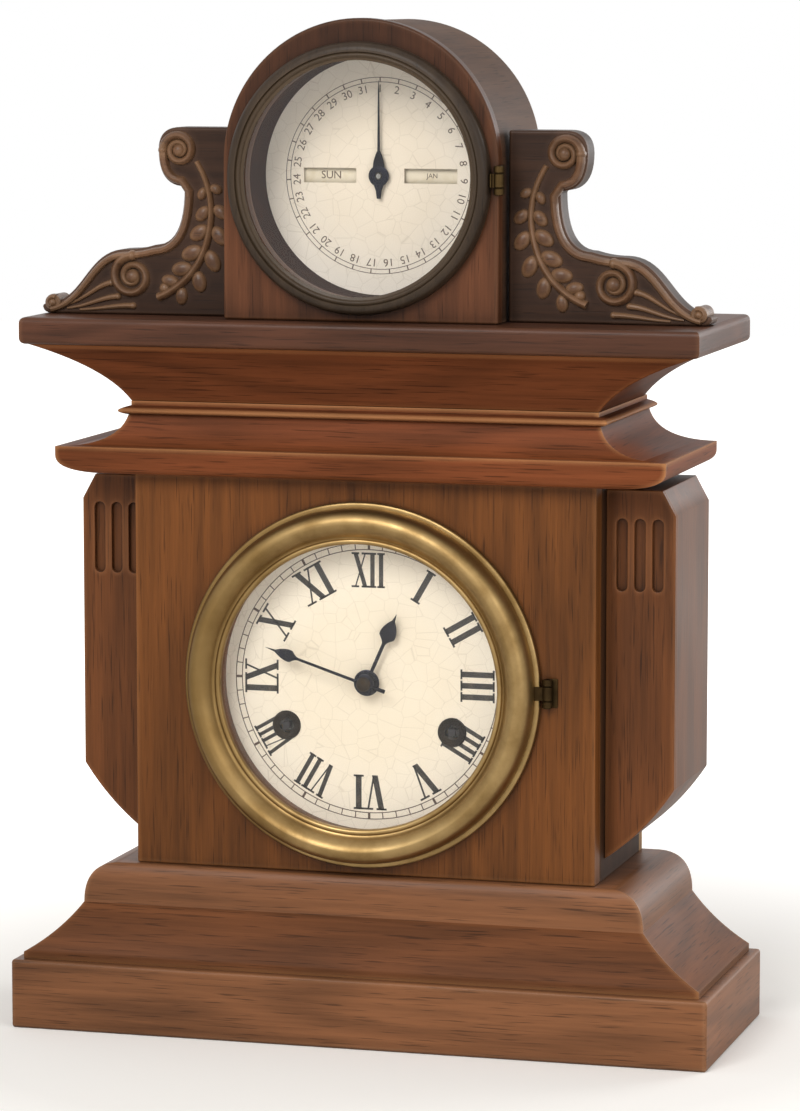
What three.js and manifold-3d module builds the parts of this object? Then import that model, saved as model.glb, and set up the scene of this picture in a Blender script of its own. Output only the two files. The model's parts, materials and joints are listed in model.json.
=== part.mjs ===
// A calendar shelf clock: a walnut case with a time dial below and a calendar dial in the hood.
// Millimetres, +Z up. The front faces -Y and the origin is the middle of the underside.
import * as THREE from "three";
import { mergeVertices } from "three/addons/utils/BufferGeometryUtils.js";
import Module from "manifold-3d";

const wasm = await Module();
wasm.setup();

// Clearances
const FIT = 0.3; // between pieces that are let into each other or swing past each other
const RUNNING = 0.2; // round a shaft in its hole
const SEAT = 0.03; // under a leaf that lies on a board

// Plinth and base moulding
const PLINTH_REACH = 54; // past the body's sides
const PLINTH_BACK_REACH = 6; // past the body's back, and as far again in front of the middle
const PLINTH_HEIGHT = 31;
const PLINTH_BOARD = 16;
const BASE_HEIGHT = 44;
const BASE_SET_IN = 4.5; // from the plinth's face to the foot of the moulding
const BASE_FILLET = 3;
const BASE_COVE_RISE = 23;
const BASE_LEDGE = 7; // how far the moulding's top reaches past the body's sides
const BASE_FRONT_LEDGE = 2;

// Body
const BODY_FRONT = 40; // from the middle to the front panel's face
const BEZEL_SIDE_MARGIN = 24; // from the bezel's rim to the body's side
const BEZEL_FOOT_MARGIN = 3.4; // from the bezel's rim to the base moulding
const BEZEL_HEAD_MARGIN = 9.6; // from the bezel's rim to the eave
const PANEL_THICKNESS = 10;
const SIDE_THICKNESS = 10;
const BACK_THICKNESS = 6;

// Wings beside the body
const WING_WIDTH = 31;
const WING_SET_BACK = 18; // from the front panel's face to the wing's face
const WING_LIFT = 9; // of the wing's lower point above the base moulding
const WING_CORBEL = 32; // height of the curved underside
const WING_GAP = 3; // under the eave
const WING_SHOULDER = 11; // height of the slanted upper corner
const WING_SHOULDER_RUN = 6;

// Eave, crown and slab
const EAVE_HEIGHT = 32;
const EAVE_REACH = 33; // past the body's sides
const EAVE_FRONT_REACH = 12;
const EAVE_SOFFIT = 6; // reach of the eave's underside past the neck
const EAVE_COVE_RISE = 8;
const EAVE_FASCIA = 4;
const BEAD_HEIGHT = 4;
const BEAD_REACH = 5;
const NECK_FILLET = 2;
const NECK_LEDGE = 1; // of the neck past the body
const CROWN_HEIGHT = 25;
const SLAB_HEIGHT = 12;
const SLAB_REACH = 48; // past the body's sides
const SLAB_FRONT = 56;
const SLAB_BACK = 50;
const SLAB_NOSE = 3;
const CROWN_SET_IN = 3; // from the slab's edge to the top of the crown cove

// Hood
const HOOD_BORDER = 3; // from the calendar ring's rim to the hood's side
const HOOD_SPRING = 7; // from the ring's middle up to where the arch starts
const HOOD_FRONT = 44;
const HOOD_FRONT_THICKNESS = 8;
const HOOD_COLLAR_ROOT = 2; // of the collar in the hood front
const HOOD_BACK = 34;
const HOOD_SHELL = 6;
const HOOD_REVEAL = 1; // of the hood front past the shell
const HOOD_BACK_THICKNESS = 6;

// Scroll boards beside the hood
const SCROLL_THICKNESS = 14;
const SCROLL_SETBACK = 8; // from the hood front's back to the scrolls' faces
const SCROLL_END_GAP = 0.7; // from the tail's tip to the slab's end
const SCROLL_TAIL_HEIGHT = 4;
const SCROLL_HUMP = 50; // reach of the lower hump
const SCROLL_HUMP_HEIGHT = 29;
const SCROLL_NOTCH = 37;
const SCROLL_NOTCH_HEIGHT = 31;
const SCROLL_NECK = 23;
const SCROLL_NECK_HEIGHT = 57;
const SCROLL_EAR = 35;
const SCROLL_EAR_HEIGHT = 73;
const SCROLL_TOP = 25;
const SCROLL_TOP_HEIGHT = 83;

// Time dial and its bezel
const OPENING_MARGIN = 3; // of the panel's opening round the glass that shows
const DIAL_LAP = 10; // of the dial behind the panel
const DIAL_THICKNESS = 1;
const BEZEL_SIGHT = 63; // radius of the glass that shows
const BEZEL_FACE = 18; // width of the brass ring
const BEZEL_DEPTH = 13.5;
const BEZEL_LIP = 6; // from the bezel's back to the glass seat
const GLASS_THICKNESS = 2;
const GLASS_EDGE = 3; // of the glass behind the bezel's lip
const WINDING_REACH = 38; // from the dial's middle to each winding hole, sideways
const WINDING_DROP = 21;
const COLLET_FLANGE = 6.5;
const COLLET_RIM = 0.8;
const COLLET_WALL = 1.4;

// Hands
const HAND_THICKNESS = 0.8;
const MINUTE_HAND = 48;
const HOUR_HAND = 34;
const HAND_TAIL = 10;
const HAND_BLADE = 4.2; // width of the hand at its widest
const HOUR_HAND_STANDOFF = 3.6; // from the dial to the hour hand
const HAND_SPACING = 3.2; // from the hour hand to the minute hand
const NUT_RADIUS = 3.2;
const NUT_LENGTH = 2.5;
const SHOWN_HOURS = 12;
const SHOWN_MINUTES = 48;

// Small hinges
const HINGE_BARREL = 2.2;
const HINGE_PIN = 1.1;
const HINGE_LEAF = 0.8;
const HINGE_KNUCKLE = 6; // length of the middle knuckle
const HINGE_END = 3; // length of each end knuckle
const HINGE_LEAF_WIDTH = 4;
const HINGE_SETOFF = 1; // between the bezel's rim and the barrel

// Calendar dial, ring and work
const RING_SIGHT = 51; // radius of the glass that shows
const RING_FACE = 8; // width of the turned ring
const RING_FOOT_MARGIN = 3; // from the ring's rim to the slab
const HOOD_OPENING_MARGIN = 1; // of the hood's opening round the glass that shows
const RING_DEPTH = 6.7;
const RING_LIP = 4;
const RING_GLASS = 1.6;
const CALENDAR_RECESS = 32; // from the hood front's face to the calendar dial's face
const WINDOW_START = 11;
const WINDOW_LENGTH = 24;
const WINDOW_HEIGHT = 9;
const ROLLER_RADIUS = 8.5;
const ROLLER_OVERHANG = 3; // of a roller past each end of its window
const ROLLER_STANDOFF = 1.5; // from the dial's back to the roller
const ROLLER_SHAFT = 1.2;
const CHEEK = 1.5;
const CHEEK_HALF = 6;
const CALENDAR_PLATE = 1.5;
const CALENDAR_PLATE_GAP = 2.5; // from the rollers to the plate
const CALENDAR_POST = 1.5;
const CALENDAR_POST_RISE = 13;
const CALENDAR_FOOT = 10;
const DATE_HAND = 42;
const DATE_HAND_STANDOFF = 2;
const DATE_ARBOR = 1.5;
const DATE_TEETH = 31;
const DATE_WHEEL_MODULE = 1;
const LIFT_WIRE = 1; // radius
const LIFT_WIRE_DROP = 28; // below the eave

// Back door
const DOOR_STILE = 33; // from the body's side to the opening
const DOOR_SILL = 20; // from the base moulding to the opening
const DOOR_HEAD = 15; // from the opening to the eave
const BUTTON_LENGTH = 32;
const BUTTON_WIDTH = 7;
const BUTTON_THICKNESS = 3;
const BUTTON_PIVOT = 1.5;
const BUTTON_STANDOFF = 10; // from the opening to the button's pivot

// Movement plates
const POST_LENGTH = 12; // from the front panel to the front plate
const POST_RADIUS = 3;
const PLATE_THICKNESS = 1.5;
const LAST_WHEEL_GAP = 3; // from the rearmost wheel to the back plate
const POST_GAP = 2; // from the dial's rim to a post
const POST_ANGLE = 42; // of the posts above and below the level of the dial's middle, in degrees
const POST_INSET = 4.5; // of the posts from the plate's edge
const PILLAR_INSET = 10; // of the upper pillars from the plate's edge
const PILLAR_GAP = 1; // from a great wheel to the pillar below it
const PILLAR_RADIUS = 3;

// Gear teeth, as shares of the module or of the pitch
const TOOTH_ROOT = 1.15;
const TOOTH_TIP = 0.85;
const TOOTH_FOOT = 0.29;
const LEAF_CREST = 0.1;
const MOST_LEAVES = 12; // a gear with more teeth is a wheel
const WHEEL_THICKNESS = 1.2;
const PINION_LENGTH = 3.4;

// Wheels: teeth, modules and layers behind the front plate
const GREAT_TEETH = 48;
const GREAT_MODULE = 1.1;
const SECOND_TEETH = 48;
const SECOND_MODULE = 0.75;
const CENTRE_TEETH = 72;
const CENTRE_MODULE = 0.48;
const THIRD_TEETH = 60;
const THIRD_MODULE = 0.5;
const STRIKE_SECOND_TEETH = 40;
const STRIKE_SECOND_MODULE = 0.7;
const STOUT_LEAVES = 8;
const FINE_LEAVES = 6;
const CANNON_LEAVES = 10;
const MINUTE_WHEEL_TEETH = 30;
const MINUTE_PINION_LEAVES = 10;
const HOUR_WHEEL_TEETH = 40;
const MOTION_DISTANCE = 16; // from the hands' axis to the minute wheel
const GREAT_LAYER = 3;
const ESCAPE_LAYER = 11;
const CENTRE_LAYER = 19;
const THIRD_GAP = 3.8; // from the centre wheel back to the third wheel
const STRIKE_SECOND_GAP = 1.8; // from the third wheel back to the strike second wheel
const SECOND_GAP = 2.1; // from the strike second wheel back to the second wheel
const THIRD_OFFSET = 6; // of the third wheel to the left of the middle
const CANNON_LAYER = 3.2; // these three lie in front of the front plate
const MINUTE_WHEEL_LAYER = 3.2;
const HOUR_WHEEL_LAYER = 6.9;
const PIPE_OUTER = 3.2;
const PIPE_INNER = 2.2;
const CENTRE_ARBOR = 1.8;
const STOUT_ARBOR = 1.1;
const FINE_ARBOR = 0.75;
const WINDING_ARBOR = 3;
const SPRING_HUB = 4.7;
const MAINSPRING_RADIUS = 19;
const MAINSPRING_WIDTH = 20;
const FLY_SPAN = 24;
const FLY_WIDTH = 14;
const FLY_THICKNESS = 0.7;
const FLY_GAP = 0.4; // from the vane back to the third wheel
const FLY_ANGLE = 130; // of the fly from the strike second wheel, in degrees

// Escapement and pendulum
const ESCAPE_TEETH = 45;
const ESCAPE_RADIUS = 12;
const ESCAPE_TOOTH = 2;
const ESCAPE_LEAN = 0.75; // of the pitch, from a tooth's root to its tip
const VERGE_STANDOFF = 7.5; // from the escape wheel's rim to the verge's axis
const VERGE_SWING = 3; // degrees each way
const PALLET_CLEARANCE = 0.3;
const ANCHOR_ARM = 2.4;
const ANCHOR_HUB = 3.4;
const CRUTCH_LENGTH = 32;
const CRUTCH_WIDTH = 3;
const CRUTCH_PRONG = 1.6;
const CRUTCH_SLOT = 0.4; // beside the pendulum rod
const PENDULUM_GAP = 5.1; // from the rod's lower end to the base moulding
const PENDULUM_STANDOFF = 8.5; // behind the back plate
const PENDULUM_ROD = 1.2;
const ROD_END = 5.5; // of rod below the bob
const SUSPENSION_LENGTH = 8;
const SUSPENSION_WIDTH = 4;
const SUSPENSION_THICKNESS = 0.5;
const SUSPENSION_COCK = 7;
const BOB_RADIUS = 16;
const BOB_THICKNESS = 7;
const RATING_NUT = 3.8;
const RATING_NUT_HEIGHT = 4;

// Strike work
const GONG_HEIGHT = 37; // of the coil's middle above the base moulding
const GONG_START = 8;
const GONG_PITCH = 8;
const GONG_TURNS = 3;
const GONG_WIRE = 1.3;
const GONG_STEPS = 18; // a turn
const GONG_GAP = 6.2; // from the pendulum bob to the coil
const GONG_POST = 10;
const GONG_POST_DEPTH = 5;
const GONG_POST_GAP = 0.4; // from the post to the back board
const HAMMER_PIVOT_X = 50; // left of the middle
const HAMMER_PIVOT_DROP = 8; // below the dial's centre
const HAMMER_STUD = 1.5;
const HAMMER_EYE = 4;
const HAMMER_HEAD = 5.5;
const HAMMER_ARM = 3;
const HAMMER_THICKNESS = 3;
const HAMMER_REST = 0.5; // from the head to the gong at rest

// Round faces and curves
const FINE = 40;
const ROUND = 20;
const SMALL = 10;
const HOLE_STEPS = 6;
const MOULDING_STEPS = 6;
const FRAME_STEPS = 2;
const WIRE_SIDES = 6;

// Curve shapes, as shares
const BASE_WAIST = 0.38; // of the moulding's run, where the cove meets the ovolo
const COVE_PULL = 0.4;
const CORBEL_PULL = 0.6;
const CROWN_PULL = 0.24;
const CROWN_LIFT = 0.58;
const FRAME_EDGE = 0.25; // of a glass frame's depth, square before the moulding starts
const FRAME_LIP = 1.5; // thickness of a glass frame's lip
const BLADE_SWELL = 0.55;
const BLADE_SPEAR = 1.15; // of the swell's height, where the point is pulled out to
const HAND_RIM = 2.4; // of a hand's hub round its bore
const BOB_CROWN = 0.45;

// Levels and planes that follow from the sizes above
const bodyBottom = PLINTH_HEIGHT + BASE_HEIGHT;
const bezelRadius = BEZEL_SIGHT + BEZEL_FACE;
const panelOpening = BEZEL_SIGHT + OPENING_MARGIN;
const dialRadius = panelOpening + DIAL_LAP;
const dialHeight = bodyBottom + BEZEL_FOOT_MARGIN + bezelRadius;
const bodyTop = dialHeight + bezelRadius + BEZEL_HEAD_MARGIN;
const eaveTop = bodyTop + EAVE_HEIGHT;
const crownTop = eaveTop + CROWN_HEIGHT;
const slabTop = crownTop + SLAB_HEIGHT;
const bodySide = bezelRadius + BEZEL_SIDE_MARGIN;
const slabSide = bodySide + SLAB_REACH;
const ringRadius = RING_SIGHT + RING_FACE;
const calendarHeight = slabTop + RING_FOOT_MARGIN + ringRadius;
const hoodSide = ringRadius + HOOD_BORDER;
const panelBack = PANEL_THICKNESS - BODY_FRONT;
const plateFront = panelBack + POST_LENGTH;
const plateInner = plateFront + PLATE_THICKNESS;
const thirdLayer = CENTRE_LAYER + WHEEL_THICKNESS + THIRD_GAP;
const strikeSecondLayer = thirdLayer + WHEEL_THICKNESS + STRIKE_SECOND_GAP;
const secondLayer = strikeSecondLayer + WHEEL_THICKNESS + SECOND_GAP;
const backPlate = plateInner + secondLayer + WHEEL_THICKNESS + LAST_WHEEL_GAP;
const backPlateBack = backPlate + PLATE_THICKNESS;
const pendulumY = backPlateBack + PENDULUM_STANDOFF;
const gongY = pendulumY + BOB_THICKNESS / 2 + GONG_GAP + GONG_WIRE;
const gongPostFront = gongY + GONG_WIRE + FIT;
const boardFront = gongPostFront + GONG_POST_DEPTH + GONG_POST_GAP;
const bodyBack = boardFront + BACK_THICKNESS;
const layer = (depth) => plateInner + depth;
const foreLayer = (depth) => plateFront - depth;

// Materials
const finish = (color, roughness, metalness) =>
  new THREE.MeshStandardMaterial({ color, roughness, metalness });
const walnut = finish(0x6c4327, 0.35, 0);
const darkWalnut = finish(0x4c392f, 0.4, 0);
const pine = finish(0x8a6a45, 0.6, 0);
const brass = finish(0x97794f, 0.3, 1);
const steel = finish(0x8d9094, 0.35, 1);
const blued = finish(0x1c1e26, 0.35, 1);
const iron = finish(0x3b3b3d, 0.6, 1);
const ivory = finish(0xf0e6cf, 0.5, 0);
const paper = finish(0xe6dcc4, 0.7, 0);
const glass = finish(0xdce6e8, 0.05, 0);

// A closed geometry as a solid with its faces turned outwards
function solid(geometry) {
  const bare = geometry.index ? geometry.toNonIndexed() : geometry.clone();
  bare.deleteAttribute("normal");
  bare.deleteAttribute("uv");
  const merged = mergeVertices(bare, 1e-4);
  const corners = merged.index.array;
  const kept = [];
  for (let i = 0; i < corners.length; i += 3) {
    const [a, b, c] = corners.slice(i, i + 3);
    if (a !== b && b !== c && c !== a) kept.push([a, b, c]);
  }
  const build = (faces) =>
    new wasm.Manifold(
      new wasm.Mesh({
        numProp: 3,
        vertProperties: merged.attributes.position.array,
        triVerts: new Uint32Array(faces.flat()),
      }),
    );
  const made = build(kept);
  return made.volume() < 0 ? build(kept.map(([a, b, c]) => [a, c, b])) : made;
}

// A box between two limits on each axis
function box([x0, x1], [y0, y1], [z0, z1]) {
  const geometry = new THREE.BoxGeometry(x1 - x0, y1 - y0, z1 - z0);
  return solid(geometry.translate((x0 + x1) / 2, (y0 + y1) / 2, (z0 + z1) / 2));
}

// An outline in (x, z), carried along Y
function alongY(shape, y0, y1, curveSegments = SMALL) {
  const geometry = new THREE.ExtrudeGeometry(shape, {
    depth: y1 - y0,
    bevelEnabled: false,
    curveSegments,
  });
  return solid(geometry.rotateX(Math.PI / 2).translate(0, y1, 0));
}

// An outline in (y, z), carried along X
function alongX(shape, x0, x1) {
  const geometry = new THREE.ExtrudeGeometry(shape, { depth: x1 - x0, bevelEnabled: false });
  const turn = new THREE.Matrix4().makeBasis(
    new THREE.Vector3(0, 1, 0),
    new THREE.Vector3(0, 0, 1),
    new THREE.Vector3(1, 0, 0),
  );
  return solid(geometry.applyMatrix4(turn).translate(x0, 0, 0));
}

// A round bar along Y, X or Z
function barY(radius, y0, y1, x = 0, z = 0, sides = SMALL) {
  const geometry = new THREE.CylinderGeometry(radius, radius, y1 - y0, sides);
  return solid(geometry.translate(x, (y0 + y1) / 2, z));
}

function barX(radius, x0, x1, y, z, sides = SMALL) {
  const geometry = new THREE.CylinderGeometry(radius, radius, x1 - x0, sides);
  return solid(geometry.rotateZ(Math.PI / 2).translate((x0 + x1) / 2, y, z));
}

function barZ(radius, z0, z1, x, y, sides = SMALL) {
  const geometry = new THREE.CylinderGeometry(radius, radius, z1 - z0, sides);
  return solid(geometry.rotateX(Math.PI / 2).translate(x, y, (z0 + z1) / 2));
}

// A profile of (radius, y) points, turned round Y
function turned(profile, sides = FINE) {
  return solid(new THREE.LatheGeometry(profile.map(([r, y]) => new THREE.Vector2(r, y)), sides));
}

const polar = (radius, angle) =>
  new THREE.Vector2(radius * Math.cos(angle), radius * Math.sin(angle));

// Two limits on the left (side -1) or the right (side 1) of the middle, in rising order
const span = (side, a, b) => [side * a, side * b].sort((p, q) => p - q);

// A rectangle between limits, as an outline or as a hole
function rectangle([x0, x1], [z0, z1], Kind = THREE.Shape) {
  const outline = new Kind();
  outline.moveTo(x0, z0);
  outline.lineTo(x1, z0);
  outline.lineTo(x1, z1);
  outline.lineTo(x0, z1);
  outline.closePath();
  return outline;
}

function circle(x, z, radius, Kind = THREE.Path) {
  const outline = new Kind();
  outline.absarc(x, z, radius, 0, 2 * Math.PI);
  return outline;
}

// Puts a solid in the scene as one named mesh
function add(parent, name, body, material, [x, y, z] = [0, 0, 0]) {
  const { numProp, vertProperties, triVerts } = body.getMesh();
  const geometry = new THREE.BufferGeometry();
  const points = new THREE.InterleavedBuffer(vertProperties, numProp);
  geometry.setAttribute("position", new THREE.InterleavedBufferAttribute(points, 3, 0));
  geometry.setIndex(new THREE.BufferAttribute(triVerts, 1));
  const flat = geometry.toNonIndexed();
  flat.computeVertexNormals();
  const mesh = new THREE.Mesh(flat, material);
  mesh.name = name;
  mesh.position.set(x, y, z);
  parent.add(mesh);
}

const clock = new THREE.Group();
clock.name = "calendar_shelf_clock";
const time = new THREE.Group(); // everything measured from the time dial's centre
time.position.z = dialHeight;
const calendar = new THREE.Group(); // everything measured from the calendar dial's centre
calendar.position.z = calendarHeight;
clock.add(time, calendar);

// Plinth: a mitred frame, open below
const plinthSide = bodySide + PLINTH_REACH;
const plinthFace = bodyBack + PLINTH_BACK_REACH;
const plinthRoom = [plinthSide - PLINTH_BOARD, plinthFace - PLINTH_BOARD];
const plinthFrame = box([-plinthSide, plinthSide], [-plinthFace, plinthFace], [0, PLINTH_HEIGHT])
  .subtract(box([-plinthRoom[0], plinthRoom[0]], [-plinthRoom[1], plinthRoom[1]], [-1, PLINTH_HEIGHT + 1]));
add(clock, "plinth_frame", plinthFrame, walnut);

// A block with one moulding round its left, front and right edges and a flat back.
// edge(foot, head) draws the moulding from the bottom up as (reach, height).
function mouldedBlock(edge, side, face, back) {
  const right = edge(side.foot, side.head).getPoints(MOULDING_STEPS);
  const left = right.map((p) => new THREE.Vector2(-p.x, p.y)).reverse();
  const forward = edge(face.foot, face.head).getPoints(MOULDING_STEPS);
  const profile = forward.map((p) => new THREE.Vector2(-p.x, p.y));
  const low = forward[0].y;
  const high = forward[forward.length - 1].y;
  profile.push(new THREE.Vector2(back, high), new THREE.Vector2(back, low));
  const wide = Math.max(...right.map((p) => p.x)) + 1;
  const deep = Math.max(...forward.map((p) => p.x)) + back;
  const across = alongY(new THREE.Shape([...right, ...left]), -deep, deep);
  return across.intersect(alongX(new THREE.Shape(profile), -wide, wide));
}

// Base moulding: fillet, cove and ovolo
function baseEdge(foot, head) {
  const coveFoot = PLINTH_HEIGHT + BASE_FILLET;
  const coveHead = coveFoot + BASE_COVE_RISE;
  const waist = head + (foot - head) * BASE_WAIST;
  const path = new THREE.Path();
  path.moveTo(foot, PLINTH_HEIGHT);
  path.lineTo(foot, coveFoot);
  path.quadraticCurveTo(waist + (foot - waist) * COVE_PULL, coveFoot + BASE_COVE_RISE * COVE_PULL,
    waist, coveHead);
  path.quadraticCurveTo(waist, bodyBottom, head, bodyBottom);
  return path;
}
const baseSide = { foot: plinthSide - BASE_SET_IN, head: bodySide + BASE_LEDGE };
const baseFace = { foot: plinthFace - BASE_SET_IN, head: BODY_FRONT + BASE_FRONT_LEDGE };
const baseBlock = mouldedBlock(baseEdge, baseSide, baseFace, plinthFace - BASE_SET_IN);
add(clock, "base_moulding", baseBlock, walnut);

// Body: front panel with the dial opening, two sides
const bodyRise = [bodyBottom, bodyTop];
const panelOutline = rectangle([-bodySide, bodySide], bodyRise);
panelOutline.holes.push(circle(0, dialHeight, panelOpening));
add(clock, "front_panel", alongY(panelOutline, -BODY_FRONT, panelBack, ROUND), walnut);
for (const [name, side] of [["left", -1], ["right", 1]]) {
  const across = span(side, bodySide, bodySide - SIDE_THICKNESS);
  add(clock, `${name}_side`, box(across, [panelBack, boardFront], bodyRise), walnut);
}

// Wings: bracket-shaped blocks with a curved underside and a slanted shoulder
function wingOutline(side) {
  const inner = side * bodySide;
  const outer = side * (bodySide + WING_WIDTH);
  const foot = bodyBottom + WING_LIFT;
  const head = bodyTop - WING_GAP;
  const outline = new THREE.Shape();
  outline.moveTo(inner, foot);
  outline.quadraticCurveTo(inner + (outer - inner) * CORBEL_PULL, foot + WING_CORBEL * (1 - CORBEL_PULL),
    outer, foot + WING_CORBEL);
  outline.lineTo(outer, head - WING_SHOULDER);
  outline.lineTo(outer - side * WING_SHOULDER_RUN, head);
  outline.lineTo(inner, head);
  outline.closePath();
  return outline;
}
const wingFront = WING_SET_BACK - BODY_FRONT;
add(clock, "left_wing", alongY(wingOutline(-1), wingFront, boardFront), walnut);
add(clock, "right_wing", alongY(wingOutline(1), wingFront, boardFront), walnut);

// Lift wire: where it passes up through the eave, crown and slab
const liftX = (DATE_TEETH * DATE_WHEEL_MODULE) / 2 + TOOTH_TIP * DATE_WHEEL_MODULE + LIFT_WIRE + FIT;
const calendarFace = CALENDAR_RECESS - HOOD_FRONT;
const calendarBack = calendarFace + DIAL_THICKNESS;
const rollerY = calendarBack + ROLLER_STANDOFF + ROLLER_RADIUS;
const calendarPlateFront = rollerY + ROLLER_RADIUS + CALENDAR_PLATE_GAP;
const calendarPlateBack = calendarPlateFront + CALENDAR_PLATE;
const liftY = calendarPlateBack + FIT + LIFT_WIRE;
const liftHole = barZ(LIFT_WIRE + FIT, bodyTop - FIT, slabTop + FIT, liftX, liftY);

// Eave: cove, fascia, slope back to the neck with its bead
function eaveEdge(nose, neck) {
  const fascia = bodyTop + EAVE_COVE_RISE;
  const slope = fascia + EAVE_FASCIA;
  const bead = eaveTop - NECK_FILLET - BEAD_HEIGHT;
  const path = new THREE.Path();
  path.moveTo(neck + EAVE_SOFFIT, bodyTop);
  path.quadraticCurveTo(nose, bodyTop, nose, fascia);
  path.lineTo(nose, slope);
  path.quadraticCurveTo(neck + BEAD_REACH, slope, neck + 1, bead);
  path.quadraticCurveTo(neck + 2 * BEAD_REACH - 1, bead + BEAD_HEIGHT / 2, neck, bead + BEAD_HEIGHT);
  path.lineTo(neck, eaveTop);
  return path;
}
const neckSide = bodySide + NECK_LEDGE;
const neckFace = BODY_FRONT + NECK_LEDGE;
const eaveSide = { foot: bodySide + EAVE_REACH, head: neckSide };
const eaveFace = { foot: BODY_FRONT + EAVE_FRONT_REACH, head: neckFace };
add(clock, "eave_moulding", mouldedBlock(eaveEdge, eaveSide, eaveFace, bodyBack).subtract(liftHole), walnut);

// Crown: one cove from the neck up to the slab
function crownEdge(foot, head) {
  const path = new THREE.Path();
  path.moveTo(foot, eaveTop);
  const pull = foot + (head - foot) * CROWN_PULL;
  path.quadraticCurveTo(pull, eaveTop + CROWN_HEIGHT * CROWN_LIFT, head, crownTop);
  return path;
}
const crownSide = { foot: neckSide, head: slabSide - CROWN_SET_IN };
const crownFace = { foot: neckFace, head: SLAB_FRONT - CROWN_SET_IN };
const crownBlock = mouldedBlock(crownEdge, crownSide, crownFace, SLAB_BACK - CROWN_SET_IN);
add(clock, "crown_moulding", crownBlock.subtract(liftHole), walnut);

// Slab with a rounded nose
function slabEdge(reach) {
  const path = new THREE.Path();
  path.moveTo(reach - SLAB_NOSE, crownTop);
  path.quadraticCurveTo(reach, crownTop, reach, crownTop + SLAB_NOSE);
  path.lineTo(reach, slabTop - SLAB_NOSE);
  path.quadraticCurveTo(reach, slabTop, reach - SLAB_NOSE, slabTop);
  return path;
}
const slabBlock = mouldedBlock(slabEdge, { foot: slabSide }, { foot: SLAB_FRONT }, SLAB_BACK);
add(clock, "top_slab", slabBlock.subtract(liftHole), walnut);

// Hood: arched front board, bent shell, arched back
function archOutline(half) {
  const spring = calendarHeight + HOOD_SPRING;
  const outline = new THREE.Shape();
  outline.moveTo(-half, slabTop);
  outline.lineTo(half, slabTop);
  outline.lineTo(half, spring);
  outline.absarc(0, spring, half, 0, Math.PI);
  outline.closePath();
  return outline;
}
const hoodFrontBack = HOOD_FRONT_THICKNESS - HOOD_FRONT;
const hoodFrontOutline = archOutline(hoodSide);
const hoodOpening = RING_SIGHT + HOOD_OPENING_MARGIN;
hoodFrontOutline.holes.push(circle(0, calendarHeight, hoodOpening));
const shellOuter = hoodSide - HOOD_REVEAL;
const shellInner = shellOuter - HOOD_SHELL;
// A collar runs from the hood front back to the calendar dial, and hides the inside of the hood
const collarDepth = [hoodFrontBack - HOOD_COLLAR_ROOT, calendarFace - FIT];
const collar = barY(shellInner - 2 * FIT, ...collarDepth, 0, calendarHeight, FINE)
  .subtract(barY(hoodOpening + FIT, collarDepth[0] - 1, collarDepth[1] + 1, 0, calendarHeight, FINE));
const hoodFront = alongY(hoodFrontOutline, -HOOD_FRONT, hoodFrontBack, ROUND).add(collar);
add(clock, "hood_front", hoodFront, darkWalnut);

const pastShell = [hoodFrontBack - 1, HOOD_BACK + 1];
const shellRoom = alongY(archOutline(shellInner), ...pastShell, ROUND);
const shellFloor = box([-shellInner, shellInner], pastShell, [slabTop - 1, slabTop + 1]);
const shellBlock = alongY(archOutline(shellOuter), hoodFrontBack, HOOD_BACK, ROUND);
add(clock, "hood_shell", shellBlock.subtract(shellRoom).subtract(shellFloor), walnut);
const hoodBackFront = HOOD_BACK - HOOD_BACK_THICKNESS;
add(clock, "hood_back", alongY(archOutline(shellInner - FIT), hoodBackFront, HOOD_BACK), pine);

// Scroll boards: an ear above, a neck, then a hump that runs out in a tail along the slab
function scrollOutline(side) {
  const start = hoodSide + FIT;
  const at = (reach, height) => [side * (start + reach), slabTop + height];
  const [tail, tailRise] = at(slabSide - SCROLL_END_GAP - start, SCROLL_TAIL_HEIGHT);
  const [hump, humpRise] = at(SCROLL_HUMP, SCROLL_HUMP_HEIGHT);
  const [notch, notchRise] = at(SCROLL_NOTCH, SCROLL_NOTCH_HEIGHT);
  const [neck, neckRise] = at(SCROLL_NECK, SCROLL_NECK_HEIGHT);
  const [ear, earRise] = at(SCROLL_EAR, SCROLL_EAR_HEIGHT);
  const [top, topRise] = at(SCROLL_TOP, SCROLL_TOP_HEIGHT);
  const outline = new THREE.Shape();
  outline.moveTo(side * start, slabTop);
  outline.lineTo(tail - side * SCROLL_TAIL_HEIGHT, slabTop);
  outline.quadraticCurveTo(tail, slabTop, tail, tailRise);
  outline.bezierCurveTo((tail + hump) / 2, tailRise, (tail + hump) / 2, humpRise, hump, humpRise);
  outline.quadraticCurveTo((hump + notch) / 2, humpRise, notch, notchRise);
  outline.quadraticCurveTo(neck, notchRise, neck, neckRise);
  outline.quadraticCurveTo(ear, neckRise, ear, earRise);
  outline.quadraticCurveTo(ear, topRise, top, topRise);
  outline.lineTo(side * start, topRise);
  outline.closePath();
  return outline;
}
const scrollFace = hoodFrontBack + SCROLL_SETBACK;
for (const [name, side] of [["left", -1], ["right", 1]]) {
  const board = alongY(scrollOutline(side), scrollFace, scrollFace + SCROLL_THICKNESS, MOULDING_STEPS);
  add(clock, `${name}_scroll`, board, darkWalnut);
}

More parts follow.
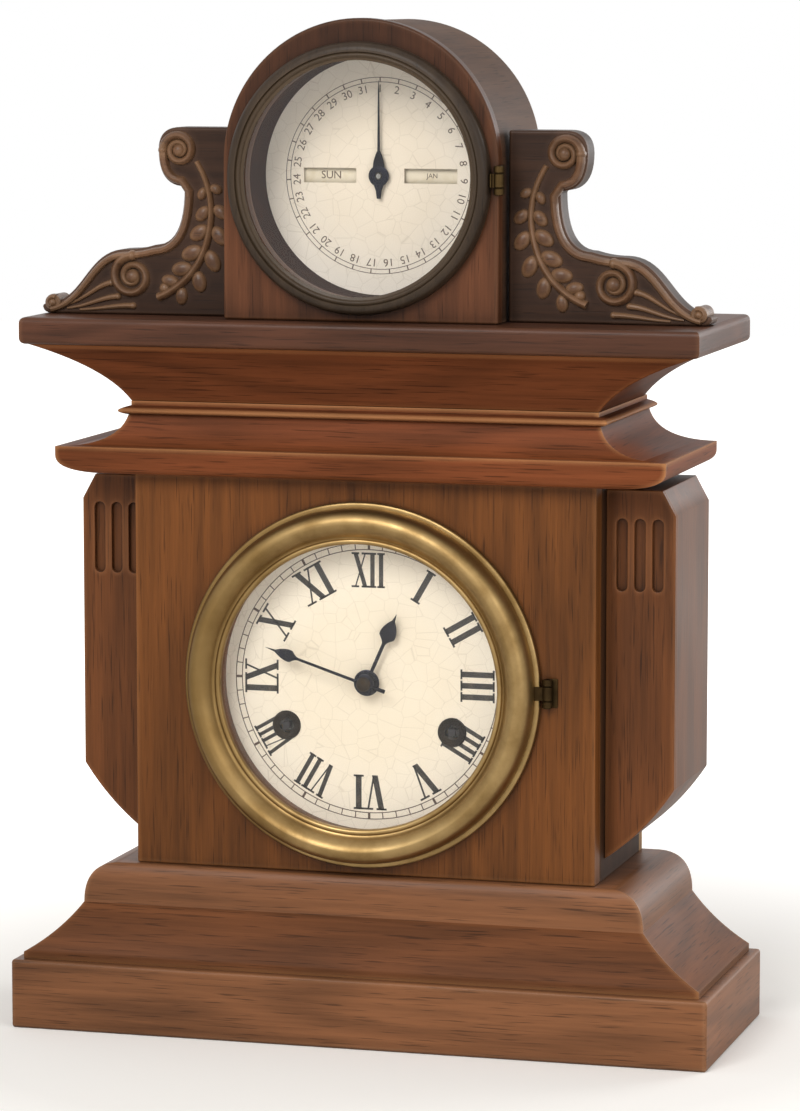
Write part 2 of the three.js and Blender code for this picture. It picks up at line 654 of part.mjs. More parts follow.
// A round frame that holds a glass: moulded in front, with a seat for the glass behind its lip
function glassFrame(radius, sight, back, depth, lip) {
  const seat = sight + GLASS_EDGE + FIT;
  const face = back - depth;
  const shoulder = (radius + sight) / 2;
  const outer = new THREE.Path();
  outer.moveTo(seat, back);
  outer.lineTo(radius, back);
  outer.lineTo(radius, back - depth * FRAME_EDGE);
  outer.quadraticCurveTo(radius - GLASS_EDGE, face, shoulder, face);
  outer.quadraticCurveTo(sight + GLASS_EDGE, face, sight, back - lip - FRAME_LIP);
  outer.lineTo(sight, back - lip);
  outer.lineTo(seat, back - lip);
  outer.closePath();
  return turned(outer.getPoints(FRAME_STEPS).map((p) => [p.x, p.y]));
}

function glassDisc(sight, back, lip, thickness) {
  const face = back - lip + FIT;
  return barY(sight + GLASS_EDGE, face, face + thickness, 0, 0, FINE);
}

// A hinge on a vertical pin at (x, y): the fixed half with its leaf, and the middle knuckle
function fixedHinge(x, y, leaf, bridge) {
  const half = HINGE_KNUCKLE / 2 + FIT;
  const end = half + HINGE_END;
  let hinge = barZ(HINGE_PIN, -end, end, x, y).add(box(leaf.x, leaf.y, [-end, end]));
  for (const rise of [[half, end], [-end, -half]]) {
    hinge = hinge.add(barZ(HINGE_BARREL, ...rise, x, y)).add(box(bridge.x, bridge.y, rise));
  }
  const wide = HINGE_BARREL + 1;
  const room = box([x - wide, x + wide], [y - wide, y + HINGE_BARREL + FIT], [-half, half]);
  return hinge.subtract(room).add(barZ(HINGE_PIN, -end, end, x, y));
}

function middleKnuckle(x, y, arm) {
  const half = HINGE_KNUCKLE / 2;
  const knuckle = barZ(HINGE_BARREL, -half, half, x, y).add(box(arm.x, arm.y, [-half, half]));
  return knuckle.subtract(barZ(HINGE_PIN + RUNNING, -half - 1, half + 1, x, y));
}

// Time bezel with its glass, hung at the right
const bezelBack = -BODY_FRONT - FIT;
const bezelPinX = bezelRadius + HINGE_BARREL + HINGE_SETOFF;
const bezelPinY = -BODY_FRONT - HINGE_LEAF - HINGE_BARREL;
const bezelArm = {
  x: [bezelRadius - GLASS_EDGE, bezelPinX],
  y: [bezelPinY - HINGE_PIN, bezelPinY + HINGE_PIN],
};
const bezelRing = glassFrame(bezelRadius, BEZEL_SIGHT, bezelBack, BEZEL_DEPTH, BEZEL_LIP);
add(time, "time_bezel", bezelRing.add(middleKnuckle(bezelPinX, bezelPinY, bezelArm)), brass);
add(time, "time_glass", glassDisc(BEZEL_SIGHT, bezelBack, BEZEL_LIP, GLASS_THICKNESS), glass);
const bezelLeaf = {
  x: [bezelPinX - HINGE_PIN, bezelPinX + HINGE_LEAF_WIDTH],
  y: [-BODY_FRONT - HINGE_LEAF, -BODY_FRONT],
};
const bezelBridge = {
  x: [bezelPinX - HINGE_PIN, bezelPinX + HINGE_PIN],
  y: [bezelPinY, -BODY_FRONT - HINGE_LEAF / 2],
};
add(time, "bezel_hinge", fixedHinge(bezelPinX, bezelPinY, bezelLeaf, bezelBridge), brass);

// Time dial on the back of the front panel, with a collet in each winding hole
const colletBore = WINDING_ARBOR + RUNNING;
const colletTube = colletBore + COLLET_WALL;
const dialFace = panelBack;
const dialBack = dialFace + DIAL_THICKNESS;
let timeDial = barY(dialRadius, dialFace, dialBack, 0, 0, FINE)
  .subtract(barY(PIPE_OUTER + FIT, dialFace - 1, dialBack + 1, 0, 0, ROUND));
for (const side of [-1, 1]) {
  const hole = barY(colletTube + RUNNING, dialFace - 1, dialBack + 1, side * WINDING_REACH, -WINDING_DROP);
  timeDial = timeDial.subtract(hole);
}
add(time, "time_dial", timeDial, ivory);
const colletProfile = [
  [colletBore, dialFace - COLLET_RIM],
  [COLLET_FLANGE, dialFace - COLLET_RIM],
  [COLLET_FLANGE, dialFace],
  [colletTube, dialFace],
  [colletTube, dialBack + COLLET_RIM],
  [colletBore, dialBack + COLLET_RIM],
  [colletBore, dialFace - COLLET_RIM],
];
for (const [name, side] of [["left", -1], ["right", 1]]) {
  const place = [side * WINDING_REACH, 0, -WINDING_DROP];
  add(time, `${name}_winding_collet`, turned(colletProfile, SMALL), brass, place);
}

// Hands: a hub, a tapered blade and a tail, turned clockwise to the time shown
function handSolid(length, tail, bore, clockwise, front) {
  const spear = length * BLADE_SWELL * BLADE_SPEAR;
  const blade = new THREE.Shape();
  blade.moveTo(-HAND_BLADE / 4, -tail);
  blade.lineTo(HAND_BLADE / 4, -tail);
  blade.lineTo(HAND_BLADE / 4, length * BLADE_SWELL);
  blade.quadraticCurveTo(HAND_BLADE / 2, spear, 0, length);
  blade.quadraticCurveTo(-HAND_BLADE / 2, spear, -HAND_BLADE / 4, length * BLADE_SWELL);
  blade.closePath();
  const back = front + HAND_THICKNESS;
  const hand = alongY(blade, front, back).add(barY(bore + HAND_RIM, front, back, 0, 0, ROUND));
  return hand.subtract(barY(bore, front - 1, back + 1)).rotate([0, clockwise, 0]);
}
const minuteTurn = (SHOWN_MINUTES / 60) * 360;
const hourTurn = (((SHOWN_HOURS % 12) + SHOWN_MINUTES / 60) / 12) * 360;
const hourHandFront = dialFace - HOUR_HAND_STANDOFF - HAND_THICKNESS;
const minuteHandFront = hourHandFront - HAND_SPACING - HAND_THICKNESS;
const nutFront = minuteHandFront - FIT - NUT_LENGTH;
const hourHand = handSolid(HOUR_HAND, 0, PIPE_OUTER + RUNNING, hourTurn, hourHandFront);
add(time, "hour_hand", hourHand, blued);
const minuteBore = CENTRE_ARBOR + RUNNING;
const minuteHand = handSolid(MINUTE_HAND, HAND_TAIL, minuteBore, minuteTurn, minuteHandFront);
add(time, "minute_hand", minuteHand, blued);
const handNut = barY(NUT_RADIUS, nutFront, nutFront + NUT_LENGTH, 0, 0, ROUND);
add(time, "hand_nut", handNut.subtract(barY(minuteBore, nutFront - 1, minuteHandFront)), brass);

// Gears: wheels have pointed teeth, pinions have flat-topped leaves
function gearSolid({ teeth, module, phase = 0 }, front, thickness) {
  const pitch = (2 * Math.PI) / teeth;
  const root = (teeth * module) / 2 - TOOTH_ROOT * module;
  const tip = (teeth * module) / 2 + TOOTH_TIP * module;
  const points = [];
  for (let i = 0; i < teeth; i++) {
    const middle = phase + i * pitch;
    points.push(polar(root, middle - TOOTH_FOOT * pitch));
    if (teeth > MOST_LEAVES) points.push(polar(tip, middle));
    else points.push(polar(tip, middle - LEAF_CREST * pitch), polar(tip, middle + LEAF_CREST * pitch));
    points.push(polar(root, middle + TOOTH_FOOT * pitch));
  }
  return alongY(new THREE.Shape(points), front, front + thickness);
}

// The phase that puts a gear's gaps on the teeth of the gear that drives it
function meshPhase(driver, teeth, direction) {
  const past = ((direction - (driver.phase ?? 0)) * driver.teeth) / (2 * Math.PI);
  return direction + Math.PI - ((0.5 - past) * 2 * Math.PI) / teeth;
}
const meshDistance = (a, b, module) => ((a + b) * module) / 2;
const directionOf = (from, to) => Math.atan2(to[1] - from[1], to[0] - from[0]);
const wheelAndPinion = (wheel, wheelFront, pinion, pinionFront) =>
  gearSolid(wheel, wheelFront, WHEEL_THICKNESS).add(gearSolid(pinion, pinionFront, PINION_LENGTH));
const pinionFront = (depth) => layer(depth) + WHEEL_THICKNESS / 2 - PINION_LENGTH / 2;

// Where the arbors stand, as (x, z) from the hands' axis
const centreAt = [0, 0];
const timeWindingAt = [WINDING_REACH, -WINDING_DROP];
const strikeWindingAt = [-WINDING_REACH, -WINDING_DROP];
const windingReach = Math.hypot(...timeWindingAt);
const greatDistance = meshDistance(GREAT_TEETH, STOUT_LEAVES, GREAT_MODULE);
const secondDistance = meshDistance(SECOND_TEETH, STOUT_LEAVES, SECOND_MODULE);
const secondAlong = (secondDistance ** 2 - greatDistance ** 2 + windingReach ** 2) / (2 * windingReach);
const secondAside = Math.sqrt(secondDistance ** 2 - secondAlong ** 2);
const towards = [WINDING_REACH / windingReach, -WINDING_DROP / windingReach];
const secondAt = [
  towards[0] * secondAlong - towards[1] * secondAside,
  towards[1] * secondAlong + towards[0] * secondAside,
];
const strikeSecondAt = [-secondAt[0], secondAt[1]];
const thirdDistance = meshDistance(CENTRE_TEETH, FINE_LEAVES, CENTRE_MODULE);
const thirdAt = [-THIRD_OFFSET, Math.sqrt(thirdDistance ** 2 - THIRD_OFFSET ** 2)];
const escapeDistance = meshDistance(THIRD_TEETH, FINE_LEAVES, THIRD_MODULE);
const escapeAt = [0, thirdAt[1] + Math.sqrt(escapeDistance ** 2 - THIRD_OFFSET ** 2)];
const flyDistance = meshDistance(STRIKE_SECOND_TEETH, STOUT_LEAVES, STRIKE_SECOND_MODULE);
const flyTurn = THREE.MathUtils.degToRad(FLY_ANGLE);
const flyAt = [
  strikeSecondAt[0] + flyDistance * Math.cos(flyTurn),
  strikeSecondAt[1] + flyDistance * Math.sin(flyTurn),
];
const minuteWheelAt = [0, -MOTION_DISTANCE];
const vergeRise = escapeAt[1] + ESCAPE_RADIUS + VERGE_STANDOFF;
const vergeAt = [0, vergeRise];

// Plates: every arbor has its hole in both, and the posts and pillars stand in the corners
const arborHoles = [
  [secondAt, STOUT_ARBOR],
  [strikeSecondAt, STOUT_ARBOR],
  [thirdAt, FINE_ARBOR],
  [escapeAt, FINE_ARBOR],
  [flyAt, STOUT_ARBOR],
  [vergeAt, STOUT_ARBOR],
  [centreAt, CENTRE_ARBOR],
  [timeWindingAt, WINDING_ARBOR],
  [strikeWindingAt, WINDING_ARBOR],
];
const postReach = dialRadius + POST_GAP + POST_RADIUS;
const { x: postX, y: postZ } = polar(postReach, THREE.MathUtils.degToRad(POST_ANGLE));
const plateSide = postX + POST_INSET;
const plateReach = Math.max(postZ, vergeRise) + POST_INSET;
function plateSolid(holes, front) {
  const outline = rectangle([-plateSide, plateSide], [-plateReach, plateReach]);
  for (const [[x, z], radius] of holes) outline.holes.push(circle(x, z, radius + RUNNING));
  return alongY(outline, front, front + PLATE_THICKNESS, HOLE_STEPS);
}
let frontPlate = plateSolid([...arborHoles, [minuteWheelAt, STOUT_ARBOR]], plateFront);
for (const x of [-postX, postX]) {
  for (const z of [-postZ, postZ]) {
    frontPlate = frontPlate.add(barY(POST_RADIUS, panelBack, plateFront + PLATE_THICKNESS / 2, x, z));
  }
}
add(time, "front_plate", frontPlate, brass);

const hammerAt = [-HAMMER_PIVOT_X, -HAMMER_PIVOT_DROP];
const cockFoot = vergeRise + SUSPENSION_LENGTH / 4;
const cockRise = [cockFoot, cockFoot + SUSPENSION_COCK];
let rearPlate = plateSolid(arborHoles, backPlate);
const greatTip = (GREAT_TEETH / 2 + TOOTH_TIP) * GREAT_MODULE;
const pillars = [
  [plateSide - PILLAR_INSET, plateReach - PILLAR_INSET],
  [WINDING_REACH, -WINDING_DROP - greatTip - PILLAR_GAP - PILLAR_RADIUS],
];
for (const [x, z] of pillars) {
  for (const side of [-1, 1]) {
    rearPlate = rearPlate.add(barY(PILLAR_RADIUS, plateInner, backPlate + PLATE_THICKNESS / 2, side * x, z));
  }
}
const studEnd = gongY + HAMMER_THICKNESS;
rearPlate = rearPlate
  .add(barY(HAMMER_STUD, backPlate + PLATE_THICKNESS / 2, studEnd, ...hammerAt))
  .add(box([-SUSPENSION_WIDTH, SUSPENSION_WIDTH], [backPlate, pendulumY + SUSPENSION_WIDTH], cockRise));
add(time, "back_plate", rearPlate, brass);

// Great wheels on their winding arbors, and the mainsprings round them
const greatWheel = { teeth: GREAT_TEETH, module: GREAT_MODULE };
const springFront = layer(GREAT_LAYER) + WHEEL_THICKNESS + FIT;
const springBack = springFront + MAINSPRING_WIDTH;
const windingEnd = dialFace - COLLET_RIM - FIT;
for (const [name, at] of [["time", timeWindingAt], ["strike", strikeWindingAt]]) {
  const place = [at[0], 0, at[1]];
  const arbor = barY(WINDING_ARBOR, windingEnd, backPlateBack, 0, 0);
  const hub = barY(SPRING_HUB, layer(GREAT_LAYER), springBack, 0, 0);
  const wheel = gearSolid(greatWheel, layer(GREAT_LAYER), WHEEL_THICKNESS).add(arbor).add(hub);
  add(time, `${name}_great_wheel`, wheel, brass, place);
  const coil = barY(MAINSPRING_RADIUS, springFront, springBack, 0, 0, ROUND);
  const bore = barY(SPRING_HUB + FIT, springFront - 1, springBack + 1, 0, 0);
  add(time, `${name}_mainspring`, coil.subtract(bore), steel, place);
}

// Second wheels: the pinion meets the great wheel, the wheel drives the next arbor
const plateToPlate = (radius) => barY(radius, plateFront, backPlateBack, 0, 0);
const secondWheel = { teeth: SECOND_TEETH, module: SECOND_MODULE };
const secondPinion = {
  teeth: STOUT_LEAVES,
  module: GREAT_MODULE,
  phase: meshPhase(greatWheel, STOUT_LEAVES, directionOf(timeWindingAt, secondAt)),
};
const secondArbor = wheelAndPinion(secondWheel, layer(secondLayer), secondPinion, pinionFront(GREAT_LAYER))
  .add(plateToPlate(STOUT_ARBOR));
add(time, "second_wheel", secondArbor, brass, [secondAt[0], 0, secondAt[1]]);

const strikeWheel = { teeth: STRIKE_SECOND_TEETH, module: STRIKE_SECOND_MODULE };
const strikePinion = {
  teeth: STOUT_LEAVES,
  module: GREAT_MODULE,
  phase: meshPhase(greatWheel, STOUT_LEAVES, directionOf(strikeWindingAt, strikeSecondAt)),
};
const strikeWheelFront = layer(strikeSecondLayer);
const strikeArbor = wheelAndPinion(strikeWheel, strikeWheelFront, strikePinion, pinionFront(GREAT_LAYER))
  .add(plateToPlate(STOUT_ARBOR));
add(time, "strike_second_wheel", strikeArbor, brass, [strikeSecondAt[0], 0, strikeSecondAt[1]]);

// Fly: a pinion and an air vane that slows the strike
const flyPinion = {
  teeth: STOUT_LEAVES,
  module: STRIKE_SECOND_MODULE,
  phase: meshPhase(strikeWheel, STOUT_LEAVES, flyTurn),
};
const vaneBack = layer(thirdLayer) - FLY_GAP;
const vane = box([-FLY_SPAN / 2, FLY_SPAN / 2], [vaneBack - FLY_WIDTH, vaneBack],
  [-FLY_THICKNESS / 2, FLY_THICKNESS / 2]);
const fly = gearSolid(flyPinion, pinionFront(strikeSecondLayer), PINION_LENGTH)
  .add(vane)
  .add(plateToPlate(STOUT_ARBOR));
add(time, "strike_fly", fly, brass, [flyAt[0], 0, flyAt[1]]);

// Centre arbor: driven pinion, centre wheel, cannon pinion, and the shaft out to the minute hand
const centreWheel = { teeth: CENTRE_TEETH, module: CENTRE_MODULE };
const centrePinion = {
  teeth: STOUT_LEAVES,
  module: SECOND_MODULE,
  phase: meshPhase(secondWheel, STOUT_LEAVES, directionOf(secondAt, centreAt)),
};
const motionModule = (2 * MOTION_DISTANCE) / (CANNON_LEAVES + MINUTE_WHEEL_TEETH);
const hourModule = (2 * MOTION_DISTANCE) / (MINUTE_PINION_LEAVES + HOUR_WHEEL_TEETH);
const cannon = { teeth: CANNON_LEAVES, module: motionModule };
const foreFront = (depth) => foreLayer(depth) + WHEEL_THICKNESS / 2 - PINION_LENGTH / 2;
const centreArbor = wheelAndPinion(centreWheel, layer(CENTRE_LAYER), centrePinion, pinionFront(secondLayer))
  .add(gearSolid(cannon, foreFront(CANNON_LAYER), PINION_LENGTH))
  .add(barY(CENTRE_ARBOR, nutFront + FIT, backPlateBack, 0, 0));
add(time, "centre_arbor", centreArbor, brass);

// Motion work: minute wheel and pinion, hour wheel and its pipe
const down = directionOf(centreAt, minuteWheelAt);
const minuteWheel = {
  teeth: MINUTE_WHEEL_TEETH,
  module: motionModule,
  phase: meshPhase(cannon, MINUTE_WHEEL_TEETH, down),
};
const minutePinion = { teeth: MINUTE_PINION_LEAVES, module: hourModule };
const minutePinionFront = foreFront(HOUR_WHEEL_LAYER);
const minuteWork = wheelAndPinion(minuteWheel, foreLayer(MINUTE_WHEEL_LAYER), minutePinion, minutePinionFront)
  .add(barY(STOUT_ARBOR, minutePinionFront, plateFront + PLATE_THICKNESS, 0, 0));
add(time, "minute_wheel", minuteWork, brass, [minuteWheelAt[0], 0, minuteWheelAt[1]]);
const hourWheel = {
  teeth: HOUR_WHEEL_TEETH,
  module: hourModule,
  phase: meshPhase(minutePinion, HOUR_WHEEL_TEETH, down + Math.PI),
};
const hourWheelFront = foreLayer(HOUR_WHEEL_LAYER);
const hourWheelBack = hourWheelFront + WHEEL_THICKNESS;
const hourWork = gearSolid(hourWheel, hourWheelFront, WHEEL_THICKNESS)
  .add(barY(PIPE_OUTER, hourHandFront - FIT, hourWheelBack, 0, 0, ROUND))
  .subtract(barY(PIPE_INNER, hourHandFront - 1, hourWheelBack + 1, 0, 0, ROUND));
add(time, "hour_wheel", hourWork, brass);

// Third wheel and escape wheel
const up = directionOf(centreAt, thirdAt);
const thirdWheel = { teeth: THIRD_TEETH, module: THIRD_MODULE };
const thirdPinion = {
  teeth: FINE_LEAVES,
  module: CENTRE_MODULE,
  phase: meshPhase(centreWheel, FINE_LEAVES, up),
};
const thirdArbor = wheelAndPinion(thirdWheel, layer(thirdLayer), thirdPinion, pinionFront(CENTRE_LAYER))
  .add(plateToPlate(FINE_ARBOR));
add(time, "third_wheel", thirdArbor, brass, [thirdAt[0], 0, thirdAt[1]]);

function escapeOutline() {
  const pitch = (2 * Math.PI) / ESCAPE_TEETH;
  const points = [];
  for (let i = 0; i < ESCAPE_TEETH; i++) {
    points.push(polar(ESCAPE_RADIUS - ESCAPE_TOOTH, i * pitch));
    points.push(polar(ESCAPE_RADIUS, (i + ESCAPE_LEAN) * pitch));
  }
  return new THREE.Shape(points);
}
const escapePinion = {
  teeth: FINE_LEAVES,
  module: THIRD_MODULE,
  phase: meshPhase(thirdWheel, FINE_LEAVES, directionOf(thirdAt, escapeAt)),
};
const escapeFront = layer(ESCAPE_LAYER);
const escapeWheel = alongY(escapeOutline(), escapeFront, escapeFront + WHEEL_THICKNESS)
  .add(gearSolid(escapePinion, pinionFront(thirdLayer), PINION_LENGTH))
  .add(plateToPlate(FINE_ARBOR));
add(time, "escape_wheel", escapeWheel, brass, [escapeAt[0], 0, escapeAt[1]]);

// Verge: an anchor whose arms run tangent to the escape wheel, its arbor, and the crutch behind the plate
const vergeDrop = vergeRise - escapeAt[1];
const swing = THREE.MathUtils.degToRad(VERGE_SWING);
const palletDip = Math.sqrt(vergeDrop ** 2 - ESCAPE_RADIUS ** 2) * Math.sin(swing);
const palletRadius = ESCAPE_RADIUS + palletDip + PALLET_CLEARANCE;
const palletLean = Math.asin(palletRadius / vergeDrop);
const palletReach = Math.sqrt(vergeDrop ** 2 - palletRadius ** 2);
const anchorTop = layer(ESCAPE_LAYER) - PALLET_CLEARANCE;
const anchorBack = anchorTop + WHEEL_THICKNESS + 2 * PALLET_CLEARANCE;
function anchorArm(side) {
  const along = new THREE.Vector2(side * Math.sin(palletLean), -Math.cos(palletLean));
  const outward = new THREE.Vector2(side * Math.cos(palletLean), Math.sin(palletLean));
  const at = (run, out) => new THREE.Vector2().addScaledVector(along, run).addScaledVector(outward, out);
  return new THREE.Shape([at(0, 0), at(palletReach, 0), at(palletReach, ANCHOR_ARM), at(0, ANCHOR_ARM)]);
}
const crutchFront = backPlateBack + FIT + RUNNING;
const crutchBack = crutchFront + PLATE_THICKNESS;
const slot = PENDULUM_ROD + CRUTCH_SLOT;
const prongRise = [-CRUTCH_LENGTH, CRUTCH_WIDTH - CRUTCH_LENGTH];
let verge = alongY(anchorArm(-1), anchorTop, anchorBack)
  .add(alongY(anchorArm(1), anchorTop, anchorBack))
  .add(barY(ANCHOR_HUB, anchorTop, anchorBack, 0, 0))
  .add(barY(STOUT_ARBOR, plateFront, crutchBack, 0, 0))
  .add(barY(STOUT_ARBOR + FIT, crutchFront, crutchBack, 0, 0))
  .add(box([-CRUTCH_WIDTH / 2, CRUTCH_WIDTH / 2], [crutchFront, crutchBack], [-CRUTCH_LENGTH, 0]))
  .add(box([-slot - CRUTCH_PRONG, slot + CRUTCH_PRONG], [crutchFront, crutchBack], prongRise));
for (const side of [-1, 1]) {
  const across = span(side, slot, slot + CRUTCH_PRONG);
  verge = verge.add(box(across, [crutchFront, pendulumY + slot], prongRise));
}
add(time, "verge", verge, steel, [vergeAt[0], 0, vergeAt[1]]);

// Pendulum: suspension spring and rod, bob, rating nut
const rodEnd = bodyBottom + PENDULUM_GAP - dialHeight - vergeRise;
const bobDrop = rodEnd + ROD_END + BOB_RADIUS;
const springHead = cockFoot - vergeRise - FIT;
const springFoot = springHead - SUSPENSION_LENGTH;
const strip = box([-SUSPENSION_THICKNESS / 2, SUSPENSION_THICKNESS / 2],
  [pendulumY - SUSPENSION_WIDTH / 2, pendulumY + SUSPENSION_WIDTH / 2], [springFoot, springHead]);
const pendulumRod = strip.add(barZ(PENDULUM_ROD, rodEnd, springFoot + 1, 0, pendulumY));
add(time, "pendulum_rod", pendulumRod, steel, [0, 0, vergeRise]);
const bobFace = pendulumY - BOB_THICKNESS / 2;
const bobBack = pendulumY + BOB_THICKNESS / 2;
const bobProfile = [
  [0, bobFace],
  [BOB_RADIUS * BOB_CROWN, bobFace],
  [BOB_RADIUS, pendulumY],
  [BOB_RADIUS * BOB_CROWN, bobBack],
  [0, bobBack],
];
const bobBore = barZ(PENDULUM_ROD + RUNNING, -BOB_RADIUS - 1, BOB_RADIUS + 1, 0, pendulumY);
add(time, "pendulum_bob", turned(bobProfile, ROUND).subtract(bobBore), brass, [0, 0, vergeRise + bobDrop]);
const nutHead = bobDrop - BOB_RADIUS - FIT;
const ratingNut = barZ(RATING_NUT, nutHead - RATING_NUT_HEIGHT, nutHead, 0, pendulumY)
  .subtract(barZ(PENDULUM_ROD + RUNNING, nutHead - RATING_NUT_HEIGHT - 1, nutHead + 1, 0, pendulumY));
add(time, "rating_nut", ratingNut, brass, [0, 0, vergeRise]);

// Gong: a flat coil of wire riveted to an iron block that stands on the base moulding
class GongCurve extends THREE.Curve {
  getPoint(t) {
    const angle = t * GONG_TURNS * 2 * Math.PI;
    const radius = GONG_START + GONG_PITCH * GONG_TURNS * t;
    return new THREE.Vector3(radius * Math.cos(angle), 0, radius * Math.sin(angle));
  }
}
const gongRise = bodyBottom + GONG_HEIGHT;
const wireSection = circle(0, 0, GONG_WIRE).getPoints(WIRE_SIDES / 2).slice(1);
const gongCoil = new THREE.ExtrudeGeometry(new THREE.Shape(wireSection), {
  steps: GONG_TURNS * GONG_STEPS,
  bevelEnabled: false,
  extrudePath: new GongCurve(),
});
const gongSeat = GONG_START - GONG_WIRE / 2;
const postDepth = [gongPostFront, gongPostFront + GONG_POST_DEPTH];
const seatRise = [gongRise - gongSeat, gongRise + gongSeat];
const gongBlock = box([-GONG_POST / 2, GONG_POST / 2], postDepth, [bodyBottom, seatRise[1]])
  .add(box([-gongSeat, gongSeat], [gongY - GONG_WIRE, gongPostFront + 1], seatRise));
add(clock, "gong", gongBlock.add(solid(gongCoil.translate(0, gongY, gongRise))), iron);

// Hammer: swings on its stud on the back plate, head beside the coil's outer turn
const gongOuter = GONG_START + GONG_PITCH * (GONG_TURNS - 1 / 2) + GONG_WIRE;
const headAt = [
  -gongOuter - HAMMER_REST - HAMMER_HEAD - hammerAt[0],
  gongRise - dialHeight - hammerAt[1],
];
const hammerFront = gongY - HAMMER_THICKNESS / 2;
const hammerBack = gongY + HAMMER_THICKNESS / 2;
const armLean = Math.atan2(headAt[1], headAt[0]);
const aside = polar(HAMMER_ARM / 2, armLean + Math.PI / 2);
const headCentre = new THREE.Vector2(...headAt);
const armOutline = new THREE.Shape([
  aside.clone(),
  aside.clone().negate(),
  headCentre.clone().sub(aside),
  headCentre.clone().add(aside),
]);
const hammer = alongY(armOutline, hammerFront, hammerBack)
  .add(barY(HAMMER_EYE, hammerFront, hammerBack, 0, 0, ROUND))
  .add(barY(HAMMER_HEAD, hammerFront, hammerBack, ...headAt, ROUND))
  .subtract(barY(HAMMER_STUD + RUNNING, hammerFront - 1, hammerBack + 1, 0, 0));
add(time, "strike_hammer", hammer, steel, [hammerAt[0], 0, hammerAt[1]]);

// Calendar ring with its glass, hung at the right of the hood front
const ringBack = -HOOD_FRONT - FIT;
const ringPinX = hoodSide + HINGE_LEAF;
const ringPinY = -HOOD_FRONT - FIT - HINGE_BARREL;
const ringRim = ringRadius + FIT;
const ringArm = { x: [ringRim, ringPinX], y: [ringPinY - HINGE_PIN, ringPinY + HINGE_PIN] };
const knuckleRise = [-HINGE_KNUCKLE / 2, HINGE_KNUCKLE / 2];
const tabDepth = [ringPinY - HINGE_BARREL, ringPinY + HINGE_BARREL];
const ringTab = box([ringRim, ringRim + HINGE_LEAF], tabDepth, knuckleRise);
const ringKnuckle = middleKnuckle(ringPinX, ringPinY, ringArm).add(ringTab);
const ringFrame = glassFrame(ringRadius, RING_SIGHT, ringBack, RING_DEPTH, RING_LIP);
add(calendar, "calendar_ring", ringFrame, darkWalnut);
add(calendar, "calendar_ring_knuckle", ringKnuckle, brass);
add(calendar, "calendar_glass", glassDisc(RING_SIGHT, ringBack, RING_LIP, RING_GLASS), glass);
const ringLeaf = { x: [hoodSide, hoodSide + HINGE_LEAF], y: [ringPinY + HINGE_PIN, hoodFrontBack - FIT] };
const ringBridge = { x: [hoodSide, ringPinX + HINGE_LEAF], y: [ringPinY, -HOOD_FRONT + HINGE_BARREL] };
add(calendar, "calendar_ring_hinge", fixedHinge(ringPinX, ringPinY, ringLeaf, ringBridge), brass);

// Calendar dial with a window for each roller
let calendarDial = barY(shellInner - 2 * FIT, calendarFace, calendarBack, 0, 0, FINE)
  .subtract(barY(DATE_ARBOR + FIT, calendarFace - 1, calendarBack + 1, 0, 0));
for (const side of [-1, 1]) {
  const across = span(side, WINDOW_START, WINDOW_START + WINDOW_LENGTH);
  const window = box(across, [calendarFace - 1, calendarBack + 1], [-WINDOW_HEIGHT / 2, WINDOW_HEIGHT / 2]);
  calendarDial = calendarDial.subtract(window);
}
add(calendar, "calendar_dial", calendarDial, ivory);

// Date hand on its arbor, with the date wheel behind the plate
const dateHandBack = calendarFace - DATE_HAND_STANDOFF;
const dateHandFront = dateHandBack - HAND_THICKNESS;
add(calendar, "date_hand", handSolid(DATE_HAND, HAND_TAIL, DATE_ARBOR + RUNNING, 0, dateHandFront), blued);
const dateWheel = { teeth: DATE_TEETH, module: DATE_WHEEL_MODULE };
const dateWheelFront = calendarPlateBack + FIT;
const dateWork = gearSolid(dateWheel, dateWheelFront, WHEEL_THICKNESS)
  .add(barY(DATE_ARBOR, dateHandFront - FIT, dateWheelFront + PINION_LENGTH, 0, 0));
add(calendar, "date_arbor", dateWork, brass);

// Rollers behind the windows, and the frame that carries them
const rollerStart = WINDOW_START - ROLLER_OVERHANG;
const rollerEnd = WINDOW_START + WINDOW_LENGTH + ROLLER_OVERHANG;
const innerCheek = rollerStart - FIT - CHEEK;
const outerCheek = rollerEnd + FIT + CHEEK;
for (const [name, side] of [["weekday", -1], ["month", 1]]) {
  const drum = barX(ROLLER_RADIUS, ...span(side, rollerStart, rollerEnd), rollerY, 0, ROUND);
  const shaft = barX(ROLLER_SHAFT, ...span(side, innerCheek, outerCheek), rollerY, 0);
  add(calendar, `${name}_roller`, drum.add(shaft), paper);
}
const plateHalf = outerCheek + CALENDAR_POST;
const standFoot = slabTop - calendarHeight;
const plateRise = [standFoot, CALENDAR_POST_RISE + 2 * CALENDAR_POST];
let frame = box([-plateHalf, plateHalf], [calendarPlateFront, calendarPlateBack], plateRise)
  .add(box([-plateHalf, plateHalf], [calendarPlateFront - CALENDAR_FOOT, calendarPlateBack],
    [standFoot, standFoot + CALENDAR_PLATE]));
for (const side of [-1, 1]) {
  for (const start of [innerCheek, outerCheek - CHEEK]) {
    const deep = [rollerY - CHEEK_HALF / 2, calendarPlateBack];
    frame = frame.add(box(span(side, start, start + CHEEK), deep, [-CHEEK_HALF, CHEEK_HALF]));
  }
  for (const rise of [-CALENDAR_POST_RISE, CALENDAR_POST_RISE]) {
    const x = side * (plateHalf - CALENDAR_POST);
    frame = frame.add(barY(CALENDAR_POST, calendarBack, calendarPlateBack, x, rise));
  }
}
